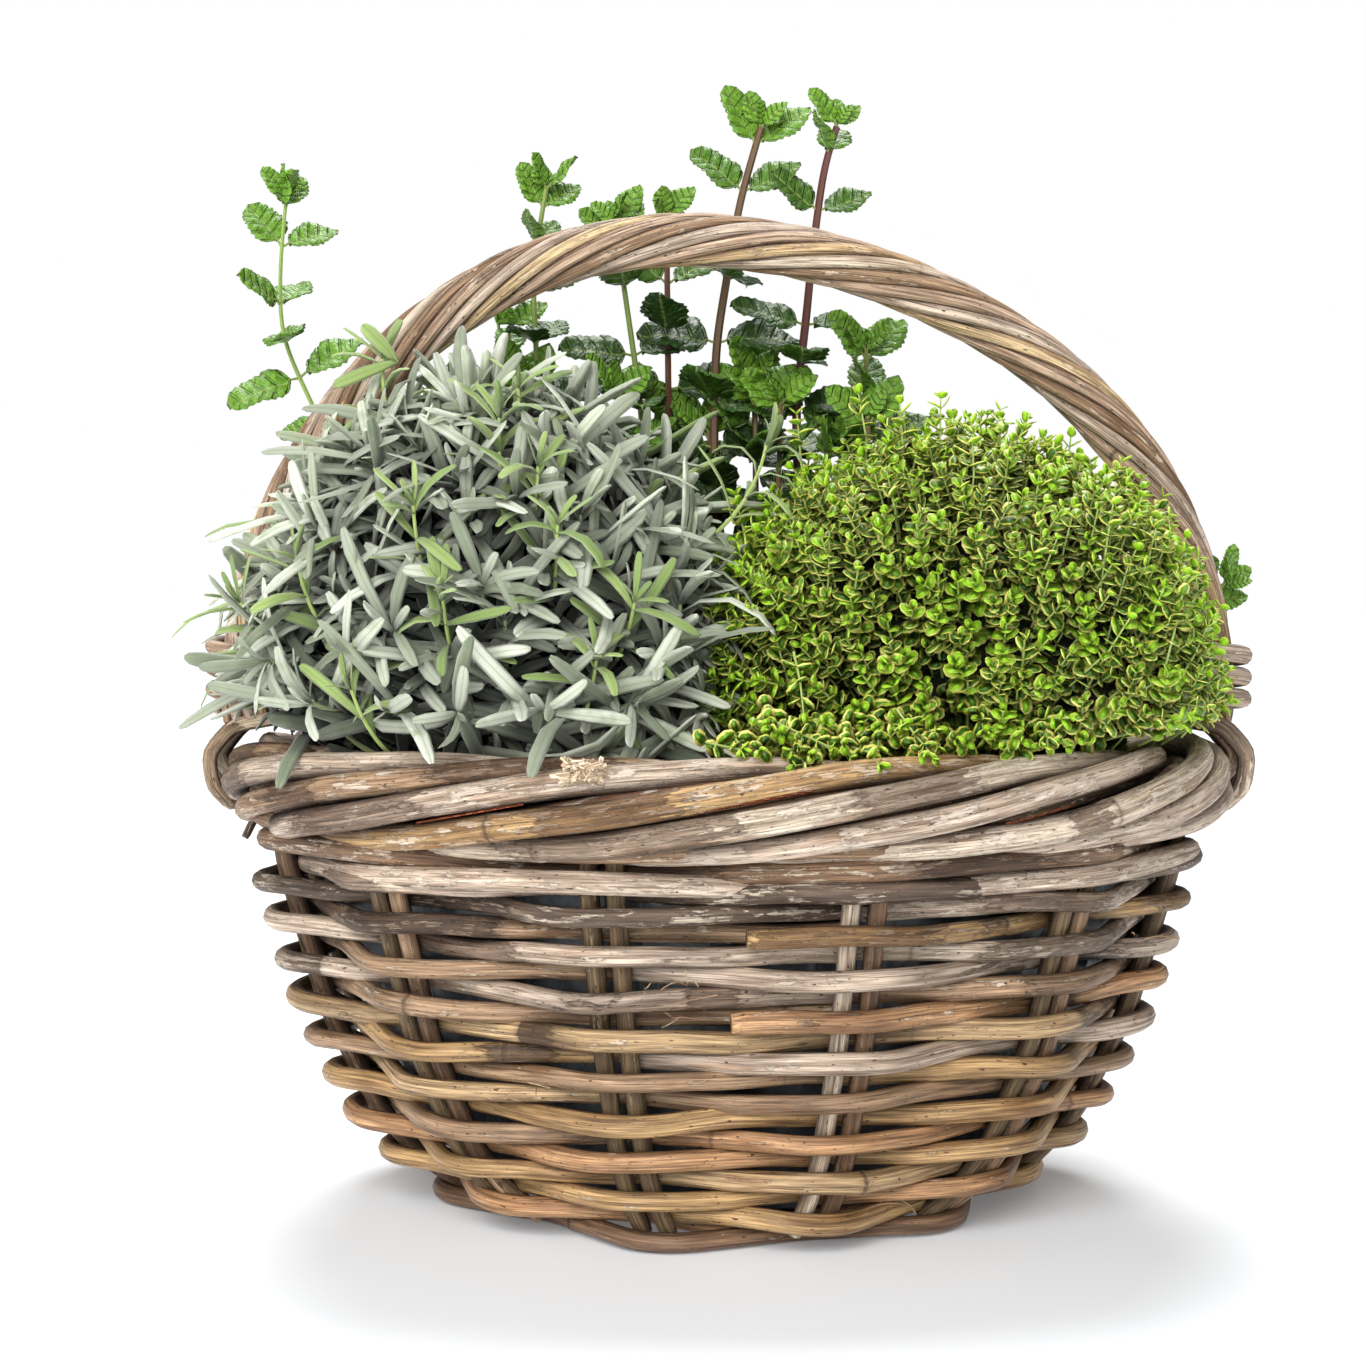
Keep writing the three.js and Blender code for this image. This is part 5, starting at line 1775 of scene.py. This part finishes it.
at_midrib = times(tree, band(tree, across, 0.12, 0.0), 0.35)
colour = mix(tree, at_midrib, colour, linear(150, 168, 84))
# Painted shade: thyme leaves deep inside the mound go over to dark green.
colour = painted_depth_shade(tree, colour, linear(14, 22, 4), 0.72)
tree.links.new(colour, shader.inputs["Base Color"])
bump(tree, shader, blot, 0.25 * MM, 0.5)
half = len(leaves) // 2
for name, part in (("high", leaves[:half]), ("low", leaves[half:])):
    piece = lay_leaves(f"thyme_leaves_{name}", thyme_leaf, part, soft_green, THYME_MOUND)
    settle(piece, "thyme", "thyme")
thyme_stem = stem_material("thyme_stem", linear(150, 168, 92), linear(178, 200, 112))
settle(stem_piece("thyme_twigs", twigs, thyme_stem, sides=4), "thyme")
settle(heart("thyme_heart", *THYME_MOUND, 0.66, shadow_leaf), "thyme")

# %% [markdown]
# ## The mint
# The mint is tall and open: dark red or green stems with crossed pairs of toothed leaves, quilted
# between their veins. A grid is the start of the leaf. Its outline is drawn in to an oval with
# teeth, the surface is raised between the veins, and Solidify gives it its thickness. Leaves low
# down, behind the other plants, are made with fewer rows.

# %% A mint leaf
MINT_COLUMNS = 4
SEEN_ROWS = 18
LOW_ROWS = 10
MINT_HALF = 0.36
MINT_VEINS = 5
MINT_SLANT = 0.9
MINT_THICKNESS = 0.016
TOOTH_DEPTH = 0.11


def mint_leaf_body(rows):
    """A toothed and quilted leaf of length 1, as the leaf maker's values."""
    deselect()
    bpy.ops.mesh.primitive_grid_add(x_subdivisions=MINT_COLUMNS, y_subdivisions=rows, size=2)
    leaf = bpy.context.object
    flat = get_points(leaf)
    across = flat[:, 0]
    along = (flat[:, 1] + 1) / 2
    outline = np.abs(np.sin(np.pi * np.clip(along, 0, 1) ** 0.76)) ** 0.54
    row = np.rint(along * rows).astype(int)
    tooth = 1 - TOOTH_DEPTH * (row % 2) * (np.abs(across) > 0.95)
    width = MINT_HALF * np.maximum(outline, 0.04) * tooth
    vein = np.abs(np.sin(np.pi * (along * MINT_VEINS - np.abs(across) * MINT_SLANT)))
    fade = np.sin(np.pi * np.clip(np.abs(across), 0.05, 0.9))
    quilt = 0.06 * vein * fade - 0.06 * (1 - np.abs(across))
    quilt = quilt + 0.035 * np.sin(9 * along) * across + random.normal(0, 0.004, len(across))
    set_points(leaf, np.stack([across * width, along, quilt], axis=1))
    choose(leaf)
    skin = leaf.modifiers.new("skin", "SOLIDIFY")
    skin.thickness = MINT_THICKNESS
    bpy.ops.object.modifier_apply(modifier=skin.name)
    bpy.ops.object.mode_set(mode="EDIT")
    bpy.ops.mesh.select_all(action="SELECT")
    bpy.ops.mesh.quads_convert_to_tris()
    bpy.ops.object.mode_set(mode="OBJECT")
    points = get_points(leaf)
    faces = np.array([face.vertices[:] for face in leaf.data.polygons])
    bpy.data.objects.remove(leaf)
    ones = np.ones(len(points))
    return {
        "along": points[:, 1],
        "across": -points[:, 0] / MINT_HALF,
        "width": ones * MINT_HALF,
        "lift": points[:, 2] / MINT_HALF,
        "faces": faces,
    }


mint_leaf = mint_leaf_body(SEEN_ROWS)
low_mint_leaf = mint_leaf_body(LOW_ROWS)
print("mint leaf:", len(mint_leaf["faces"]), "triangles, or", len(low_mint_leaf["faces"]), "low down")

# %% Mint stems and leaves
# Each stem is its way in millimetres, then its pairs of leaves: height, turn in degrees and length.
MINT_STEMS = (
    (
        (
            (-110, 62, 160), (-150, 56, 265), (-176, 50, 322),
            (-187, 47, 347), (-187, 46, 376), (-184, 45, 404),
        ),
        ((311, 10, 15), (331, 5, 26), (345, 95, 20), (362, 60, 21), (385, 10, 21), (400, 80, 16)),
    ),
    (
        ((-62, 66, 160), (-70, 64, 260), (-80, 62, 330), (-82, 60, 375), (-76, 58, 410)),
        ((300, 70, 25), (322, 10, 25), (345, 80, 24), (366, 15, 22), (388, 75, 17), (402, 5, 17)),
    ),
    (
        ((-30, 70, 160), (-33, 68, 260), (-36, 66, 320), (-47, 63, 396)),
        ((296, 20, 26), (318, 85, 26), (342, 10, 25), (368, 80, 23), (388, 15, 17)),
    ),
    (
        ((-22, 72, 160), (-24, 68, 300), (-25, 64, 399)),
        ((305, 60, 27), (328, 0, 27), (350, 75, 26), (372, 5, 24), (392, 80, 16)),
    ),
    (
        ((2, 66, 160), (-5, 62, 300), (-4, 62, 345), (6, 60, 405), (15, 58, 436)),
        ((300, 10, 28), (322, 80, 28), (346, 5, 28), (372, 75, 26), (408, 5, 22), (427, 8, 22)),
    ),
    (
        ((36, 66, 160), (30, 62, 320), (34, 60, 352), (37, 58, 385), (42, 58, 422), (47, 57, 436)),
        (
            (296, 75, 27), (318, 10, 27), (338, 80, 26), (353, 5, 25),
            (376, 85, 20), (401, 4, 20), (424, 70, 19),
        ),
    ),
    (
        ((112, 66, 160), (165, 58, 200), (194, 52, 232), (210, 46, 243)),
        ((222, 80, 14), (236, 20, 16)),
    ),
    (
        ((66, 72, 160), (60, 66, 280), (60, 60, 342)),
        ((300, 15, 25), (320, 85, 22), (336, 30, 20)),
    ),
    (
        ((-100, 70, 160), (-98, 66, 280), (-92, 62, 352)),
        ((300, 85, 23), (322, 10, 23), (342, 80, 18)),
    ),
    (
        ((12, 78, 160), (14, 74, 280), (12, 70, 330)),
        ((292, 85, 26), (310, 5, 26), (326, 70, 22)),
    ),
)
MINT_OPENING = (72, 30)
MINT_TILT = (0, -0.9, 0.1)
STALK_FROM_LENGTH = 12
STALK_RADIUS = 0.75 * MM
leaves = []
twigs = []


def mint_leaf_at(spot, way, out, opening, length, young):
    """One leaf that leaves its stem at that opening."""
    leaf_way = math.cos(opening) * way + math.sin(opening) * out
    base = spot + leaf_way * length * 0.16 * MM
    tilt = np.array(MINT_TILT) * (2.2 - opening)
    if length > STALK_FROM_LENGTH:
        stalk = np.array([spot, (spot + base) / 2, base + leaf_way * MM])
        twigs.append((stalk, STALK_RADIUS, 0.8))
    leaves.append({
        "at": base,
        "way": leaf_way,
        "face": way * math.sin(opening) - out * math.cos(opening) + tilt + random.normal(0, 0.15, 3),
        "length": length * random.uniform(1.04, 1.20) * MM,
        "broad": length * random.uniform(1.08, 1.26) * MM,
        "curl": random.normal(0.45, 0.25),
        "shade": random.uniform(0, 1),
        "young": young,
    })


print("mint stems in view:", len(MINT_STEMS))

# %% Low stems of the mint, behind the other plants
LOW_STEMS = 14
LOW_PAIRS = 6
LOW_MIDDLE = (-22, 58)
LOW_REACH = (92, 16)
low_stems = []
for number in range(LOW_STEMS):
    x = LOW_MIDDLE[0] + LOW_REACH[0] * (2 * (number + random.uniform(0.2, 0.8)) / LOW_STEMS - 1)
    y = LOW_MIDDLE[1] + random.uniform(-1, 1) * LOW_REACH[1]
    top = random.uniform(278, 338) - 0.1 * abs(x)
    lean = random.uniform(-8, 8, 2)
    way = ((x - 2 * lean[0], y + 8, 160), (x, y, 250), (x + lean[0], y + lean[1], top))
    turns = random.uniform(0, 90) + 90 * (np.arange(LOW_PAIRS) % 2)
    pairs = tuple((top - 6 - 21 * n, turns[n], min(21 + 4 * n, 31)) for n in range(LOW_PAIRS))
    low_stems.append((way, pairs))
print("low mint stems:", len(low_stems))

# %% Make the mint
# The low stems have the last value of each of these three lists.
STEM_RADIUS = (1.4, 1.7, 1.7, 2.1, 2.4, 2.4, 1.3, 1.7, 1.5, 1.6)
STEM_AGE = (0.95, 0.8, 0.85, 0.1, 0.15, 0.05, 0.6, 0.5, 0.7, 0.2)
STEM_GREEN = (0.65, 0.15, 0.1, 0.0, 0.0, 0.0, 0.45, 0.0, 0.1, 0.0)
for number, (spots, pairs) in enumerate(MINT_STEMS + tuple(low_stems)):
    path = rounded(np.array(spots, float) * MM, 4 * MM, 40 * MM)
    order = min(number, len(STEM_RADIUS) - 1)
    twigs.append((path, STEM_RADIUS[order] * MM, STEM_AGE[order]))
    top = path[-1, 2]
    for height, turn, length in pairs:
        index = int(np.argmin(np.abs(path[:, 2] - height * MM)))
        index = min(max(index, 2), len(path) - 1)
        way = unit(path[index] - path[index - 2])
        aside = unit(np.cross([0, 1, 0], way))
        back = np.cross(way, aside)
        share = np.clip((top - path[index, 2]) / (60 * MM), 0, 1)
        opening = math.radians(MINT_OPENING[1] + (MINT_OPENING[0] - MINT_OPENING[1]) * share)
        for twin in (0, math.pi):
            angle = math.radians(turn) + twin + random.normal(0, 0.1)
            out = math.cos(angle) * aside + math.sin(angle) * back
            green = max(STEM_GREEN[order], 0.8 * (1 - share))
            mint_leaf_at(path[index], way, out, opening + random.normal(0, 0.08), length, green)
    for leaf in range(4):
        angle = leaf * math.pi / 2 + number
        out = math.cos(angle) * aside + math.sin(angle) * back
        mint_leaf_at(path[-1], way, out, math.radians(24 + 6 * leaf), 9 + 2.2 * leaf, 1.0)
    if number == len(MINT_STEMS) - 1:
        seen_leaves = len(leaves)
print("mint leaves:", len(leaves), "on", len(twigs), "stems")

# %% The finish of the mint
quilted, tree, shader = new_material("mint_leaf", 0.44)
along = read_attribute(tree, "along")
side = math_node(tree, "ABSOLUTE", read_attribute(tree, "across"))
shade = read_attribute(tree, "shade")
young = read_attribute(tree, "young")
place = object_coordinates(tree)
pucker = noise(tree, place, 420, detail=4.0)
ribs = math_node(tree, "MULTIPLY_ADD", side, -MINT_SLANT, times(tree, along, MINT_VEINS))
ribs = math_node(tree, "ABSOLUTE", math_node(tree, "SINE", math_node(tree, "MULTIPLY", ribs, math.pi)))
colour = mix(tree, shade, linear(34, 66, 16), linear(70, 112, 32))
colour = mix(tree, band(tree, young, 0.1, 0.9), colour, linear(112, 160, 44))
at_veins = times(tree, band(tree, ribs, 0.22, 0.0), 0.5)
colour = mix(tree, at_veins, colour, linear(140, 164, 92))
at_midrib = times(tree, band(tree, side, 0.09, 0.0), 0.7)
colour = mix(tree, at_midrib, colour, linear(156, 176, 104))
# Painted shade and highlight: the leaf is darker in the hollows of its puckered relief and lighter on its
# crests, from the same noise as the bump.
pucker_shading = band(tree, pucker, 0.3, 0.7)
uneven = mix(tree, pucker_shading, (0.70, 0.74, 0.66, 1), (1.28, 1.24, 1.22, 1))
colour = mix(tree, 1.0, colour, uneven, "MULTIPLY")
# Painted shade: mint leaves deep inside their mound, low and behind, go darker.
colour = painted_depth_shade(tree, colour, linear(10, 20, 6), 0.6)
tree.links.new(colour, shader.inputs["Base Color"])
crinkle = math_node(tree, "MULTIPLY_ADD", band(tree, ribs, 0.0, 0.5), 0.7, pucker)
bump(tree, shader, crinkle, 1.6 * MM, 1.0)
# The mound whose depth sets the painted shade of the mint.
MINT_MOUND = ((-10, 58, 230), (130, 40, 90))
tall_leaves = lay_leaves("mint_leaves_tall", mint_leaf, leaves[:seen_leaves], quilted, MINT_MOUND)
settle(tall_leaves, "mint", *[f"mint_{number + 1}" for number in range(6)])
low_leaves = lay_leaves("mint_leaves_low", low_mint_leaf, leaves[seen_leaves:], quilted, MINT_MOUND)
settle(low_leaves, "mint")
mint_stem = stem_material("mint_stem", linear(96, 36, 42), linear(140, 168, 84))
settle(stem_piece("mint_stems", twigs, mint_stem), "mint")

# %% [markdown]
# ## Size and finish
# The dressed basket is meant to keep the size of its solids. Both boxes are gathered here, and
# the visual one is printed.

# %% Gather both boxes and finish
visual_low, visual_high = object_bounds()
sizes = {
    "cad": [list(cad_low), list(cad_high)],
    "visual": [list(visual_low), list(visual_high)],
}
print("visual box from", tuple(visual_low), "to", tuple(visual_high))
print("triangles in all:", sum(made_triangles))
